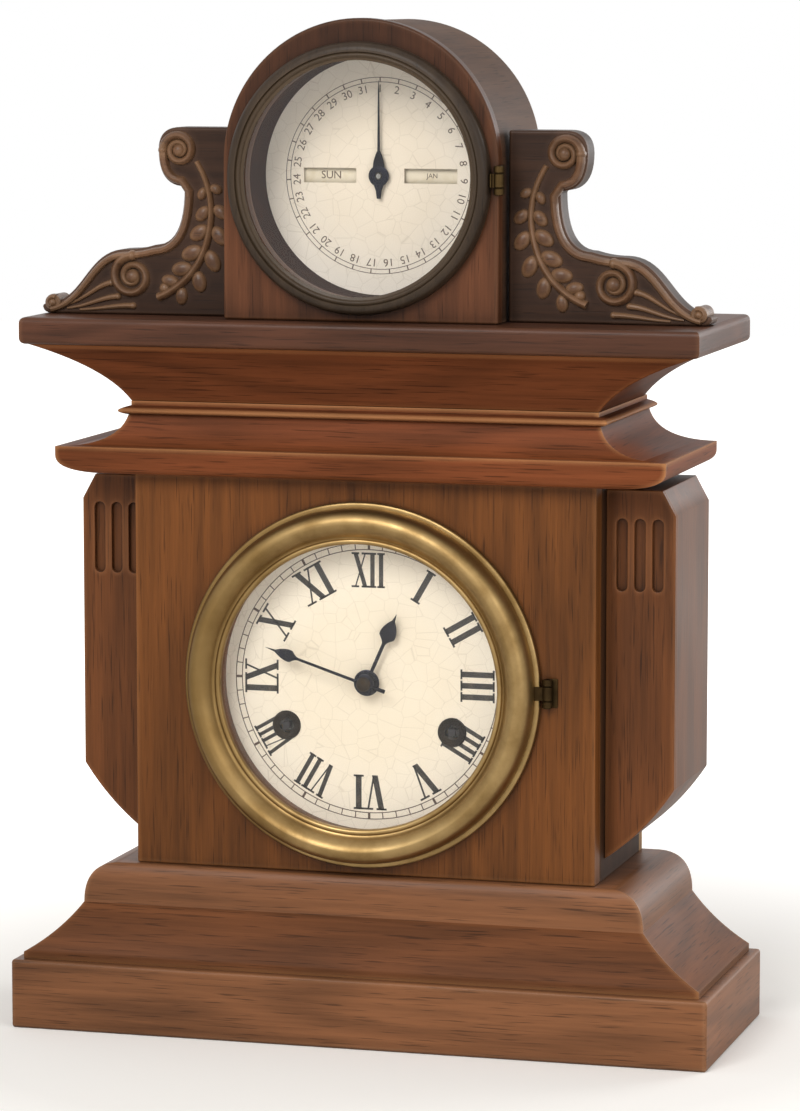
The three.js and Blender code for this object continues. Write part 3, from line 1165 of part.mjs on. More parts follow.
frame = frame
  .subtract(barX(ROLLER_SHAFT + RUNNING, -plateHalf, plateHalf, rollerY, 0))
  .subtract(barY(DATE_ARBOR + RUNNING, calendarPlateFront - 1, calendarPlateBack + 1, 0, 0));
add(calendar, "calendar_frame", frame, iron);

// Lift wire from the movement up to the date wheel
const liftWire = barZ(LIFT_WIRE, bodyTop - LIFT_WIRE_DROP, calendarHeight, liftX, liftY);
add(clock, "calendar_lift_wire", liftWire, steel);

// Back board with its door, the door's hinge and its turn button
const doorSide = bodySide - DOOR_STILE;
const doorRise = [bodyBottom + DOOR_SILL, bodyTop - DOOR_HEAD];
const doorMiddle = (doorRise[0] + doorRise[1]) / 2;
const buttonX = -doorSide - BUTTON_STANDOFF;
const boardOutline = rectangle([-bodySide, bodySide], bodyRise);
boardOutline.holes.push(rectangle([-doorSide, doorSide], doorRise, THREE.Path));
boardOutline.holes.push(circle(buttonX, doorMiddle, BUTTON_PIVOT + RUNNING));
add(clock, "back_board", alongY(boardOutline, boardFront, bodyBack), pine);
const doorOutline = rectangle([FIT - doorSide, doorSide - FIT], [doorRise[0] + FIT, doorRise[1] - FIT]);
add(clock, "back_door", alongY(doorOutline, boardFront, bodyBack), pine);
const doorPinX = doorSide;
const doorPinY = bodyBack + HINGE_LEAF + HINGE_BARREL;
const rear = new THREE.Group(); // the hinge's fixed half is drawn facing -Y, so it is turned to face +Y
rear.rotation.z = Math.PI;
rear.position.z = doorMiddle;
clock.add(rear);
const doorLeaf = {
  x: [-doorPinX - HINGE_BARREL - HINGE_LEAF_WIDTH, -doorPinX],
  y: [-bodyBack - SEAT - HINGE_LEAF, -bodyBack - SEAT],
};
const doorBridge = {
  x: [-doorPinX - HINGE_PIN, -doorPinX + HINGE_PIN],
  y: [-doorPinY, -bodyBack - HINGE_LEAF / 2],
};
add(rear, "back_door_hinge", fixedHinge(-doorPinX, -doorPinY, doorLeaf, doorBridge), brass);
const armAcross = [doorPinX - HINGE_BARREL - HINGE_LEAF_WIDTH, doorPinX];
const doorArm = box(armAcross, [bodyBack + FIT, bodyBack + FIT + HINGE_LEAF], knuckleRise);
const doorStem = { x: [doorPinX - HINGE_BARREL, doorPinX], y: [bodyBack + FIT, doorPinY] };
const doorKnuckle = middleKnuckle(doorPinX, doorPinY, doorStem)
  .add(doorArm)
  .subtract(barZ(HINGE_PIN + RUNNING, -HINGE_KNUCKLE, HINGE_KNUCKLE, doorPinX, doorPinY));
add(clock, "back_door_knuckle", doorKnuckle, brass, [0, 0, doorMiddle]);
const buttonFront = bodyBack + FIT;
const button = box([-BUTTON_WIDTH / 2, BUTTON_WIDTH / 2], [buttonFront, buttonFront + BUTTON_THICKNESS],
  [-BUTTON_LENGTH / 2, BUTTON_LENGTH / 2])
  .add(barY(BUTTON_PIVOT, boardFront, buttonFront + BUTTON_THICKNESS / 2, 0, 0));
add(clock, "door_turn_button", button, brass, [buttonX, 0, doorMiddle]);

export default clock;
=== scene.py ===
"""A calendar shelf clock: the looks of its pieces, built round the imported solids.

Each piece is drawn in millimetres in the part's own frame, where the front faces -Y, +Z is up and
the origin is the middle of the underside. It becomes metres when it is finished.
"""
import json
import math

import bmesh
import bpy
from mathutils import Matrix, Vector

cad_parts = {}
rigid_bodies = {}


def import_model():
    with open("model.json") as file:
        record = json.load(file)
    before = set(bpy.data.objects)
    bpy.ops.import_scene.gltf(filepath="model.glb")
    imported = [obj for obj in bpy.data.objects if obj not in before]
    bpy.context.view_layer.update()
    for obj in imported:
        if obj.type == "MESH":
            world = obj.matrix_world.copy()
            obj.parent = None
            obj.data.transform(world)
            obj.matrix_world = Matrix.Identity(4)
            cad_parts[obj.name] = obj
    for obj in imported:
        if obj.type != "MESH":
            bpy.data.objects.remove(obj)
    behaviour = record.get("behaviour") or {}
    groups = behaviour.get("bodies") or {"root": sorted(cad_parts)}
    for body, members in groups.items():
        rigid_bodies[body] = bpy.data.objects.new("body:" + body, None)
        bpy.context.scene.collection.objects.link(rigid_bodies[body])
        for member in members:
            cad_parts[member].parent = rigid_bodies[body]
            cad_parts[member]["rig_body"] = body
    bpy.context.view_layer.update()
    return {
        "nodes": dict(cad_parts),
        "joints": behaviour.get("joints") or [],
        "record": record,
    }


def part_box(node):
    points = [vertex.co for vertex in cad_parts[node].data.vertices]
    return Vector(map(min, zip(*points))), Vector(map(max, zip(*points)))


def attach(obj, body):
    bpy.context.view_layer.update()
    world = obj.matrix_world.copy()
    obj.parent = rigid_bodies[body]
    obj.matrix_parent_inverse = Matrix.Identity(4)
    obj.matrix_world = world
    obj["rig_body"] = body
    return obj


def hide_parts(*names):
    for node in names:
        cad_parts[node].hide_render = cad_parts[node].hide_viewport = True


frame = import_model()
SLOTS = {part["node"]: part["material_slot"] for part in frame["record"]["subparts"]}

MM = 0.001  # metres
SIDES = (("left", -1), ("right", 1))

# Case sizes, the same as the solids have
PLINTH_SIDE, PLINTH_FACE, PLINTH_HEIGHT, PLINTH_BOARD = 159, 58, 31, 16
BASE_SIDE, BASE_FACE, BASE_TOP, BASE_SIDE_LEDGE, BASE_FRONT_LEDGE = 154.5, 53.5, 75, 7, 2
BASE_FILLET, BASE_COVE_RISE, BASE_WAIST, COVE_PULL = 3, 23, 0.38, 0.4
BODY_SIDE, BODY_FRONT, BODY_BACK, BODY_TOP = 105, 40, 52, 250
BOARD_FRONT, BOARD = 46, 10
EAVE_SIDE, EAVE_FACE, EAVE_TOP = 138, 52, 282
EAVE_COVE_RISE, EAVE_FASCIA, EAVE_SOFFIT = 8, 4, 6
BEAD_HEIGHT, BEAD_REACH, NECK_FILLET = 4, 5, 2
NECK_SIDE, NECK_FACE = 106, 41
CROWN_SIDE, CROWN_FACE, CROWN_BACK, CROWN_TOP = 150, 53, 47, 307
CROWN_PULL, CROWN_LIFT = 0.24, 0.58
SLAB_SIDE, SLAB_FACE, SLAB_BACK, SLAB_TOP, SLAB_NOSE = 153, 56, 50, 319, 3
WING_SIDE, WING_FRONT, WING_FOOT, WING_HEAD = 136, -22, 84, 247
WING_CORBEL, CORBEL_PULL, WING_SHOULDER, WING_SHOULDER_RUN = 32, 0.6, 11, 6
HOOD_SIDE, HOOD_SPRING, HOOD_FRONT, HOOD_FRONT_BACK, HOOD_BACK = 62, 388, -44, -36, 34
SHELL_SIDE, SHELL_WALL, HOOD_BACK_BOARD, FIT = 61, 6, 6, 0.3

# Dial sizes
DIAL_AT, DIAL_FACE, DIAL_BACK, DIAL_RADIUS = 159.4, -30, -29, 76
PANEL_OPENING, BEZEL_SIGHT, BEZEL_RADIUS, BEZEL_BACK = 66, 63, 81, -40.3
CALENDAR_AT, CALENDAR_FACE, CALENDAR_BACK, CALENDAR_RADIUS = 381, -12, -11, 54.4
HOOD_OPENING, RING_SIGHT, RING_RADIUS, RING_BACK = 52, 51, 59, -44.3
GLASS_LAND, GLASS_SEAT = 3, 3.3
WINDING_REACH, WINDING_DROP = 38, 21


def linear(colour):
    """An sRGB hex colour as linear red, green, blue and alpha."""
    parts = [int(colour[i:i + 2], 16) / 255 for i in (1, 3, 5)]
    return [c / 12.92 if c <= 0.04045 else ((c + 0.055) / 1.055) ** 2.4 for c in parts] + [1]


def node(tree, kind, inputs, out=0, **settings):
    """Adds a node with its settings, and values or links by input socket. Returns one output."""
    made = tree.nodes.new("ShaderNode" + kind)
    for name, value in settings.items():
        setattr(made, name, value)
    for socket, value in inputs.items():
        if isinstance(value, bpy.types.NodeSocket):
            tree.links.new(value, made.inputs[socket])
        else:
            made.inputs[socket].default_value = value
    return made.outputs[out] if made.outputs else made


def reckon(tree, operation, *values, **settings):
    return node(tree, "Math", dict(enumerate(values)), operation=operation, **settings)


def blend(tree, share, base, top):
    """A colour with a share of another over it."""
    return node(tree, "Mix", {0: share, 6: base, 7: top}, 2, data_type="RGBA")


def ramp(tree, value, start, end, low, high):
    """Goes from low to high while a value goes from start to end."""
    return node(tree, "MapRange", {0: value, 1: start, 2: end, 3: low, 4: high})


def noise(tree, place, size, detail, **more):
    """Cloudy noise with features this many millimetres across."""
    return node(tree, "TexNoise", {"Vector": place, "Scale": per_mm(size), "Detail": detail, **more})


def per_mm(size):
    """The texture scale whose features are this many millimetres across."""
    return 1 / (size * MM)


def openness(tree, width, inside=False):
    """How open a place is: low in hollows of a width in millimetres, or on edges of walls when seen from inside."""
    return node(tree, "AmbientOcclusion", {"Distance": width * MM}, "AO", samples=6, inside=inside)


def bump(tree, height, strength, depth):
    return node(tree, "Bump", {"Height": height, "Strength": strength, "Distance": depth * MM})


def round_axis(tree, place, x, z):
    """Places measured from an axis that runs from front to back, and their distances from it."""
    aside = node(tree, "Mapping", {"Vector": place, "Location": (-x * MM, 0, -z * MM), "Scale": (1, 0, 1)})
    return aside, node(tree, "VectorMath", {0: aside}, "Value", operation="LENGTH")


def new_material(name):
    """An empty material, its node tree, and the place of each point on a piece."""
    material = bpy.data.materials.new(name)
    material.use_nodes = True
    material.node_tree.nodes.clear()
    return material, material.node_tree, node(material.node_tree, "TexCoord", {}, "Object")


def surfaced(material, sockets):
    """Gives a material its shader, with values or links by socket."""
    shader = node(material.node_tree, "BsdfPrincipled", sockets)
    node(material.node_tree, "OutputMaterial", {"Surface": shader})
    return material


def polished_wood(name, grain, tones, figure, roughness, coat, gloss, shade_width=9, shaded_heights=None):
    """Sawn wood with its grain along X, Y or Z: figure, fibres and pores under polish, hollows darkened as painted
    shade, and rubbed edges lightened partly as painted highlight.

    The tones are those of the pale figure, the deep figure, the pores and the painted shade in hollows, and the
    rubbed and highlit edges.
    Shade width is the width in millimetres of a hollow that is still darkened as painted shade. Shaded heights is a
    pair of heights between which the wood darkens upwards as painted shade, if it does.
    """
    pale, deep, pore_and_shade_tone, rub_and_highlight_tone = (linear(tone) for tone in tones.split())
    material, tree, place = new_material(name)
    # The figure is drawn out 7 times along the grain, and the fibres 30 times.
    board, fibre = (
        node(tree, "Mapping", {"Vector": place, "Scale": [1 / drawn if axis == grain else 1 for axis in "XYZ"]})
        for drawn in (7, 30)
    )
    growth = noise(tree, board, figure, 1, Distortion=0.4)
    rings = reckon(tree, "SINE", reckon(tree, "MULTIPLY", growth, 34))
    streaks = noise(tree, fibre, 2.4, 4, Roughness=0.65)
    drift = noise(tree, place, 120, 2)
    banded = reckon(tree, "MULTIPLY_ADD", rings, 0.13, -0.25)
    streaked = reckon(tree, "MULTIPLY_ADD", streaks, 0.9, banded)
    body = blend(tree, reckon(tree, "MULTIPLY_ADD", drift, 0.6, streaked, use_clamp=True), deep, pale)
    # Painted shade: the wood darkens upwards between two heights.
    if shaded_heights:
        low, high = shaded_heights
        up = node(tree, "SeparateXYZ", {0: place}, "Z")
        body = blend(tree, ramp(tree, up, low * MM, high * MM, 0, 0.62), body, pore_and_shade_tone)
    # Real pores are under 0.3 mm wide; these are drawn at 0.7 mm so that they show.
    pores = ramp(tree, noise(tree, fibre, 0.7, 1), 0.6, 0.72, 0, 0.55)
    open_grain = blend(tree, pores, body, pore_and_shade_tone)
    # Painted shade: hollows narrower than the shade width are darkened towards the pore tone.
    darkened = blend(tree, ramp(tree, openness(tree, shade_width), 0.3, 0.85, 0.6, 0), open_grain, pore_and_shade_tone)
    # Edges take the paler edge tone: partly real rubbing, partly a painted highlight.
    rubbed = ramp(tree, openness(tree, 2.5, inside=True), 0.5, 0.92, 0.75, 0)
    return surfaced(material, {
        "Base Color": blend(tree, reckon(tree, "MULTIPLY", rubbed, drift), darkened, rub_and_highlight_tone),
        "Roughness": ramp(tree, drift, 0.3, 0.7, roughness - 0.06, roughness + 0.08),
        "Normal": bump(tree, reckon(tree, "SUBTRACT", streaks, pores), 0.25, 0.15),
        "Specular IOR Level": gloss, "Coat Weight": coat, "Coat Roughness": 0.18})


def aged_metal(name, bright_tone, tarnish, patch, roughness, lathe_axis=None):
    """Worked metal with patches of tarnish, and turning marks round a lathe axis at (x, z) if it was turned; turned
    metal is also darkened towards the left as painted shade.
    """
    bright_tone, tarnish = linear(bright_tone), linear(tarnish)
    material, tree, place = new_material(name)
    patches = noise(tree, place, patch, 6, Roughness=0.6)
    colour = blend(tree, ramp(tree, patches, 0.38, 0.66, 0, 0.85), bright_tone, tarnish)
    darkened = blend(tree, ramp(tree, openness(tree, 5), 0.25, 0.8, 0.7, 0), colour, tarnish)
    if lathe_axis:
        aside, radius = round_axis(tree, place, *lathe_axis)
        marks = node(tree, "TexNoise", {"W": radius, "Scale": per_mm(0.9), "Detail": 2}, noise_dimensions="1D")
        # Painted shade: the side away from the hinge, the left, is darkened towards the tarnish tone.
        across = node(tree, "SeparateXYZ", {0: aside}, "X")
        darkened = blend(tree, ramp(tree, across, -BEZEL_RADIUS * MM, -20 * MM, 0.9, 0), darkened, tarnish)
    else:
        marks = noise(tree, place, 1.2, 3)
    return surfaced(material, {
        "Base Color": darkened, "Metallic": 1, "Normal": bump(tree, marks, 0.2, 0.1),
        "Roughness": ramp(tree, patches, 0.3, 0.7, roughness - 0.07, roughness + 0.12)})


def dial_paint(name, dim_middle_tone, bright_tone, height, radius):
    """Painted zinc: smooth paint, dimmer in the middle and lighter towards the rim as painted light against the rim's
    shade, with faint stains and hair cracks.
    """
    material, tree, place = new_material(name)
    _, reach = round_axis(tree, place, 0, height)
    stains = noise(tree, place, 22, 5)
    # Painted light: the paint lightens towards the rim, offsetting the shade cast by the rim round the dial.
    rim = ramp(tree, reach, 0.5 * radius * MM, radius * MM, -0.25, 0.7)
    stains_and_rim_lightening = reckon(tree, "MULTIPLY_ADD", stains, 0.5, rim, use_clamp=True)
    cells = node(tree, "TexVoronoi", {"Vector": place, "Scale": per_mm(7)}, feature="DISTANCE_TO_EDGE")
    paint = blend(tree, stains_and_rim_lightening, linear(dim_middle_tone), linear(bright_tone))
    crazed = blend(tree, ramp(tree, cells, 0, 0.025, 0.22, 0), paint, linear("#8d7a55"))
    return surfaced(material, {"Base Color": crazed, "Roughness": 0.42, "Normal": bump(tree, stains, 0.1, 0.2)})


def printed(name, full, worn, grain, roughness, gloss=0.5):
    """A thin layer of ink, paper or paint: one tone, worn through in small patches."""
    material, tree, place = new_material(name)
    fibre = noise(tree, place, grain, 5)
    return surfaced(material, {
        "Base Color": blend(tree, ramp(tree, fibre, 0.5, 0.75, 0, 0.8), linear(full), linear(worn)),
        "Roughness": roughness, "Normal": bump(tree, fibre, 0.15, 0.1), "Specular IOR Level": gloss})


def window_glass(name):
    """Old drawn glass: clear, with a slightly wavy face that bends its reflections."""
    material, tree, place = new_material(name)
    relief = bump(tree, noise(tree, place, 30, 1), 0.1, 1)
    clear = node(tree, "BsdfTransparent", {"Color": linear("#fefdfb")})
    shine = node(tree, "BsdfGlossy", {"Color": linear("#ffffff"), "Roughness": 0.03, "Normal": relief})
    facing = node(tree, "Fresnel", {"IOR": 1.5, "Normal": relief})
    inside = node(tree, "NewGeometry", {}, "Backfacing")
    outer_face = reckon(tree, "SUBTRACT", facing, inside, use_clamp=True)
    shader = node(tree, "MixShader", {0: outer_face, 1: clear, 2: shine})
    node(tree, "OutputMaterial", {"Surface": shader})
    return material


# Each wood has its grain, tones, figure in millimetres, roughness, coat and gloss, then any shade width and shaded
# heights of painted shade.
# Shellac-polished walnut: warm red-brown with dark figure and a soft gloss that whitens at a slant.
PANEL_WALNUT = polished_wood("polished_walnut", "Z", "#7a4820 #3a210d #1e1007 #9c693f", 42, 0.38, 0.04, 0.12)
# The mouldings use copies of the walnut: a red eave, a crown darkened as painted shade under the slab,
# and a base whose cove is darkened as painted shade below a paler ovolo and plinth that are a painted highlight.
EAVE_WALNUT, SHADED_CROWN_WALNUT, SHADED_COVE_WALNUT, HIGHLIT_PLINTH_WALNUT = (
    [polished_wood(f"{name}_walnut_{grain}", grain, tones, 42, *sheen) for grain in "XY"]
    for name, tones, *sheen in (
        ("red", "#84482a #422412 #1d0f07 #cf9866", 0.44, 0, 0.05, 14),
        ("sooty", "#6c3a1f #371c0d #180b05 #96603a", 0.44, 0, 0.04, 24),
        ("hollowed", "#77482a #3c2312 #1a0f07 #a5744c", 0.44, 0, 0.08, 24),
        ("rubbed", "#8c5b3a #4a2e1b #22140a #ab8160", 0.42, 0.04, 0.16, 9),
    )
)
# The wings' boards are a darker copy of the same walnut, as painted shade under the eave.
SHADED_WING_WALNUT = polished_wood("shaded_wing_walnut", "Z", "#754422 #381f0d #1b0e06 #96633e", 38, 0.4, 0.04, 0.14)
# Dark-stained walnut for the hood and the slab: the same wood, the hood's darkened nearly to black in its hollows and
# dimmer up in the arch, both as painted shade.
HOOD_WALNUT = polished_wood("stained_walnut", "Z", "#71442b #382114 #150d08 #7c583e", 36, 0.4, 0.05, 0.12, 20,
                            (365, 445))
SLAB_WALNUT = [
    polished_wood(f"dark_walnut_{grain}", grain, "#5d3928 #2e1b11 #130b07 #80593f", 36, 0.4, 0.05, 0.14)
    for grain in "XY"
]
# The carving's ground is a copy of the walnut darkened nearly to black as painted shade, and its raised carving a
# paler, glossier copy as painted highlight.
SHADED_GROUND_WALNUT = polished_wood("shaded_carving_ground", "X", "#402a1d #21140d #0c0704 #6d5140", 36, 0.42, 0.03, 0.14)
HIGHLIT_CARVED_WALNUT = polished_wood("highlit_carved_walnut", "X", "#67452f #362114 #0e0805 #947254", 36, 0.34, 0.06, 0.24)
# The sides behind the wings are a dark copy of the walnut with no gloss, as painted shade below the wings' corbels.
SHADOWED_SIDE_WALNUT = polished_wood("shadowed_side_walnut", "Z", "#432a19 #26170d #120a06 #5f4128", 40, 0.62, 0, 0.1)
# The bent roof has lost most of its polish: grey-brown and dull.
ROOF_WALNUT = polished_wood("weathered_walnut", "Y", "#5f4330 #36241a #1c120b #8a6c56", 40, 0.55, 0, 0.1)
# The turned ring is stained darkest of all, a brown that is nearly black.
RING_WALNUT = polished_wood("ebonised_walnut", "Z", "#3d3024 #231a13 #100b07 #5f4e3b", 30, 0.42, 0.05, 0.16)
# Aged deal for the unseen back: dry, yellow-brown and matt.
PINE = polished_wood("aged_deal", "Z", "#a5804f #765431 #4b331d #b8966a", 30, 0.62, 0, 0.2)
# Spun brass under old lacquer: a soft yellow, browned in patches, and darkened on its left side as painted shade.
BEZEL_BRASS = aged_metal("spun_brass", "#a58a5d", "#775d36", 26, 0.4, (0, DIAL_AT))
# Rolled brass for the movement: yellow, with brown patches.
BRASS = aged_metal("rolled_brass", "#a98a58", "#6f5530", 18, 0.38)
# Brass left unpolished: dull and brown, so small fittings do not catch the eye.
DARK_BRASS = aged_metal("browned_brass", "#4b3b23", "#2c2114", 12, 0.52)
# Brass chemically blackened, as the cups of winding holes are: a dark spot with little shine.
BLACKED_BRASS = aged_metal("blackened_brass", "#2c241a", "#17120d", 9, 0.5)
# Bright steel for arbors and wires: pale grey with a satin shine.
STEEL = aged_metal("bright_steel", "#9ea1a3", "#6b675f", 14, 0.32)
# Steel blued by heat: nearly black, with a cold sheen.
BLUED = aged_metal("blued_steel", "#20222e", "#16151a", 8, 0.3)
# Cast iron: dark grey and dull.
IRON = aged_metal("cast_iron", "#46464a", "#2f2a27", 10, 0.5)
# Ivory paint on the time dial: warm, smooth and much the palest thing on the front.
TIME_PAINT = dial_paint("ivory_dial_paint", "#f2e7d3", "#fbf4e7", DIAL_AT, BEZEL_SIGHT)
# The calendar's paint is paler, a painted lightening against the shade deep in its ring.
CALENDAR_PAINT = dial_paint("calendar_dial_paint", "#f4e9d8", "#fbf5ec", CALENDAR_AT, RING_SIGHT)
# Printing ink: nearly black, thinned to brown in specks.
INK = printed("printing_ink", "#1f1b18", "#4d4438", 3, 0.5)
# The calendar's small figures have faded to brown.
FADED_INK = printed("faded_ink", "#584539", "#897663", 3, 0.55)
# Rag paper on the rollers: cream, slightly fibrous.
PAPER = printed("rag_paper", "#ece3d0", "#dccfb0", 5, 0.8)
# The collar round the calendar dial is brushed with a thin matt brown-black paint, darkened as painted shade for the
# shadowed wall round the dial.
COLLAR_SHADE_PAINT = printed("collar_painted_shade", "#36221a", "#452b20", 6, 0.8, 0.06)
# Drawn glass: lets the dials show, under a faint wavy reflection.
GLASS = window_glass("drawn_glass")
FINISHES = {
    "walnut": PANEL_WALNUT, "dark_walnut": HOOD_WALNUT, "pine": PINE, "brass": BRASS, "steel": STEEL,
    "blued_steel": BLUED, "iron": IRON, "dial_paint": TIME_PAINT, "roller_paper": PAPER, "glass": GLASS,
}


def bend(path, *points, steps=14):
    """Carries a path on from its end by a smooth curve, pulled towards each point in turn and ending at the last."""
    pulls = [Vector(point) for point in (path[-1], *points)]
    for t in (i / steps for i in range(1, steps + 1)):
        row = pulls
        while len(row) > 1:
            row = [a.lerp(b, t) for a, b in zip(row, row[1:])]
        path.append(tuple(row[0]))
    return path


def arc(x, z, radius, start, end, steps):
    """Points on an arc, with both ends, angles in degrees from +X towards +Z."""
    angles = [math.radians(start + (end - start) * i / steps) for i in range(steps + 1)]
    return [(x + radius * math.cos(a), z + radius * math.sin(a)) for a in angles]


def disc(x, z, radius, steps=96):
    return arc(x, z, radius, 0, 360, steps)[:-1]


def rectangle(x0, x1, z0, z1):
    return [(x0, z0), (x1, z0), (x1, z1), (x0, z1)]


def eased(inner, outer, foot, head, ease):
    """The profile of a bar or tube with its outer ends eased."""
    return [(inner, foot), (outer - ease, foot), (outer, foot + ease), (outer, head - ease), (outer - ease, head),
            (inner, head)]


def flat(bm, points):
    """One face through points."""
    face = bm.faces.new([bm.verts.new(point) for point in points])
    face.normal_update()
    return face


def move_grown(bm, grown, run):
    """Moves what has just been drawn out of a shape."""
    bmesh.ops.translate(bm, vec=run, verts=[g for g in grown["geom"] if isinstance(g, bmesh.types.BMVert)])


def thicken(bm, faces, run):
    """Draws faces out into a body."""
    move_grown(bm, bmesh.ops.extrude_face_region(bm, geom=faces), run)


def soften(bm, width, segments=2, angle=30):
    """Rounds the edges that turn by more than an angle, as sanding and handling do."""
    bmesh.ops.recalc_face_normals(bm, faces=bm.faces)
    sharp = [e for e in bm.edges if e.is_manifold and e.calc_face_angle() > math.radians(angle)]
    bmesh.ops.bevel(bm, geom=sharp, offset=width, offset_type="OFFSET", affect="EDGES", segments=segments,
                    profile=0.5, material=-1, clamp_overlap=True)


def board(front, back, outline, *holes, ease=0, segments=2):
    """A flat board between two depths, cut to an outline of (x, z) points with holes, and eased at its edges."""
    bm = bmesh.new()
    edges = []
    for loop in (outline, *holes):
        verts = [bm.verts.new((x, front, z)) for x, z in loop]
        edges += [bm.edges.new(pair) for pair in zip(verts, verts[1:] + verts[:1])]
    filled = bmesh.ops.triangle_fill(bm, use_beauty=True, use_dissolve=True, edges=edges)
    thicken(bm, [g for g in filled["geom"] if isinstance(g, bmesh.types.BMFace)], (0, back - front, 0))
    if ease:
        soften(bm, ease, segments)
    return bm


def moulded_block(back, side_edge, front_edge):
    """A block whose sides and front follow two edges of (reach, height), mitred at the corners, with a flat back."""
    bm = bmesh.new()
    levels = [(side, front, height) for (side, height), (front, _) in zip(side_edge, front_edge)]
    side, front, height = levels[0]
    foot = top = flat(bm, [(x, y, height) for x, y in rectangle(-side, side, -front, back)])
    for (side, front, height), (next_side, next_front, next_height) in zip(levels, levels[1:]):
        grown = bmesh.ops.extrude_face_region(bm, geom=[top])
        if top is not foot and top.is_valid:
            bm.faces.remove(top)
        top = next(g for g in grown["geom"] if isinstance(g, bmesh.types.BMFace))
        growth = (next_side / side, (next_front + back) / (front + back), 1)
        bmesh.ops.scale(bm, vec=growth, space=Matrix.Translation((0, -back, 0)), verts=top.verts)
        bmesh.ops.translate(bm, vec=(0, 0, next_height - height), verts=top.verts)
    return bm


ALONG_X = Matrix.Rotation(math.pi / 2, 4, "Y")
ALONG_Y = Matrix.Rotation(-math.pi / 2, 4, "X")
ALONG_Z = Matrix.Identity(4)


def turned(profile, at=(0, 0, 0), axis=ALONG_Y, steps=96):
    """A closed profile of (radius, distance along the axis) points, turned round an axis through a point."""
    bm = bmesh.new()
    place = Matrix.Translation(at) @ axis
    verts = [bm.verts.new(place @ Vector((radius, 0, along))) for radius, along in profile]
    edges = [bm.edges.new(pair) for pair in zip(verts, verts[1:] + verts[:1])]
    bmesh.ops.spin(bm, geom=verts + edges, cent=place.translation, axis=place.to_3x3() @ Vector((0, 0, 1)),
                   angle=2 * math.pi, steps=steps, use_merge=True)
    bmesh.ops.remove_doubles(bm, verts=bm.verts, dist=1e-4)
    return bm


def rod(start, end, radius):
    """A round bar between two points."""
    bm = bmesh.new()
    start, end = Vector(start), Vector(end)
    place = Matrix.Translation((start + end) / 2) @ (end - start).to_track_quat("Z", "Y").to_matrix().to_4x4()
    bmesh.ops.create_cone(bm, cap_ends=True, segments=24, radius1=radius, radius2=radius,
                          depth=(end - start).length, matrix=place)
    return bm


def block(x, y, z, ease=0):
    """A squared block between two limits on each axis, with eased edges."""
    bm = bmesh.new()
    middle = [(a + b) / 2 for a, b in (x, y, z)]
    size = [abs(b - a) for a, b in (x, y, z)] + [1]
    bmesh.ops.create_cube(bm, size=1, matrix=Matrix.Translation(middle) @ Matrix.Diagonal(size))
    if ease:
        soften(bm, ease, 1)
    return bm


def join(bm, *others, material=0):
    """Adds other drawings to this one, with their place in the piece's list of materials."""
    for other in others:
        for face in other.faces:
            face.material_index = material
        carried = bpy.data.meshes.new("carried")
        other.to_mesh(carried)
        other.free()
        bm.from_mesh(carried)
        bpy.data.meshes.remove(carried)
    return bm


def shift(bm, x, z):
    bmesh.ops.translate(bm, vec=(x, 0, z), verts=bm.verts)


def set_curve(bm, curve, place):
    """Turns a curve or words into a mesh and adds it at its place."""
    carrier = bpy.data.objects.new("carrier", curve)
    mesh = bpy.data.meshes.new_from_object(carrier)
    mesh.transform(place)
    shape = bmesh.new()
    shape.from_mesh(mesh)
    bmesh.ops.remove_doubles(shape, verts=shape.verts, dist=1e-4)
    join(bm, shape)
    bpy.data.objects.remove(carrier)
    bpy.data.curves.remove(curve)
    bpy.data.meshes.remove(mesh)


def drawn_wire(bm, path, start, end, place):
    """A round wire along (x, z) points, tapering from one radius to another."""
    curve = bpy.data.curves.new("wire", "CURVE")
    curve.dimensions, curve.bevel_depth, curve.bevel_resolution, curve.use_fill_caps = "3D", 1, 3, True
    spline = curve.splines.new("POLY")
    spline.points.add(len(path) - 1)
    for i, (point, (x, z)) in enumerate(zip(spline.points, path)):
        point.co = (x, 0, z, 1)
        point.radius = start + (end - start) * i / (len(path) - 1)
    set_curve(bm, curve, place)


def finish(bm, name, solid, materials, replaces=True, crease=38, side_grain=False, parting=math.inf):
    """Makes a drawing a piece in metres, on its solid's body. It stands for the solid or lies on it.

    With side_grain, the second material is for faces that look sideways. A second pair is for faces over the parting.
    """
    bmesh.ops.dissolve_degenerate(bm, dist=1e-3, edges=bm.edges)
    bmesh.ops.delete(bm, geom=[e for e in bm.edges if not e.link_faces], context="EDGES")
    bmesh.ops.recalc_face_normals(bm, faces=bm.faces)
    for face in bm.faces:
        face.smooth = True
        if side_grain:
            sideways = abs(face.normal.x) > abs(face.normal.y) + 0.05
            face.material_index = int(sideways) + 2 * int(face.calc_center_median().z > parting)
    for edge in bm.edges:
        edge.smooth = edge.is_manifold and edge.calc_face_angle() < math.radians(crease)
    bmesh.ops.scale(bm, vec=(MM, MM, MM), verts=bm.verts)
    mesh = bpy.data.meshes.new(name)
    bm.to_mesh(mesh)
    bm.free()
    for material in materials:
        mesh.materials.append(material)
    piece = bpy.data.objects.new(name, mesh)
    bpy.context.scene.collection.objects.link(piece)
    even = piece.modifiers.new("even_shading", "WEIGHTED_NORMAL")
    even.keep_sharp = True
    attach(piece, frame["nodes"][solid]["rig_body"])
    if replaces:
        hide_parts(solid)


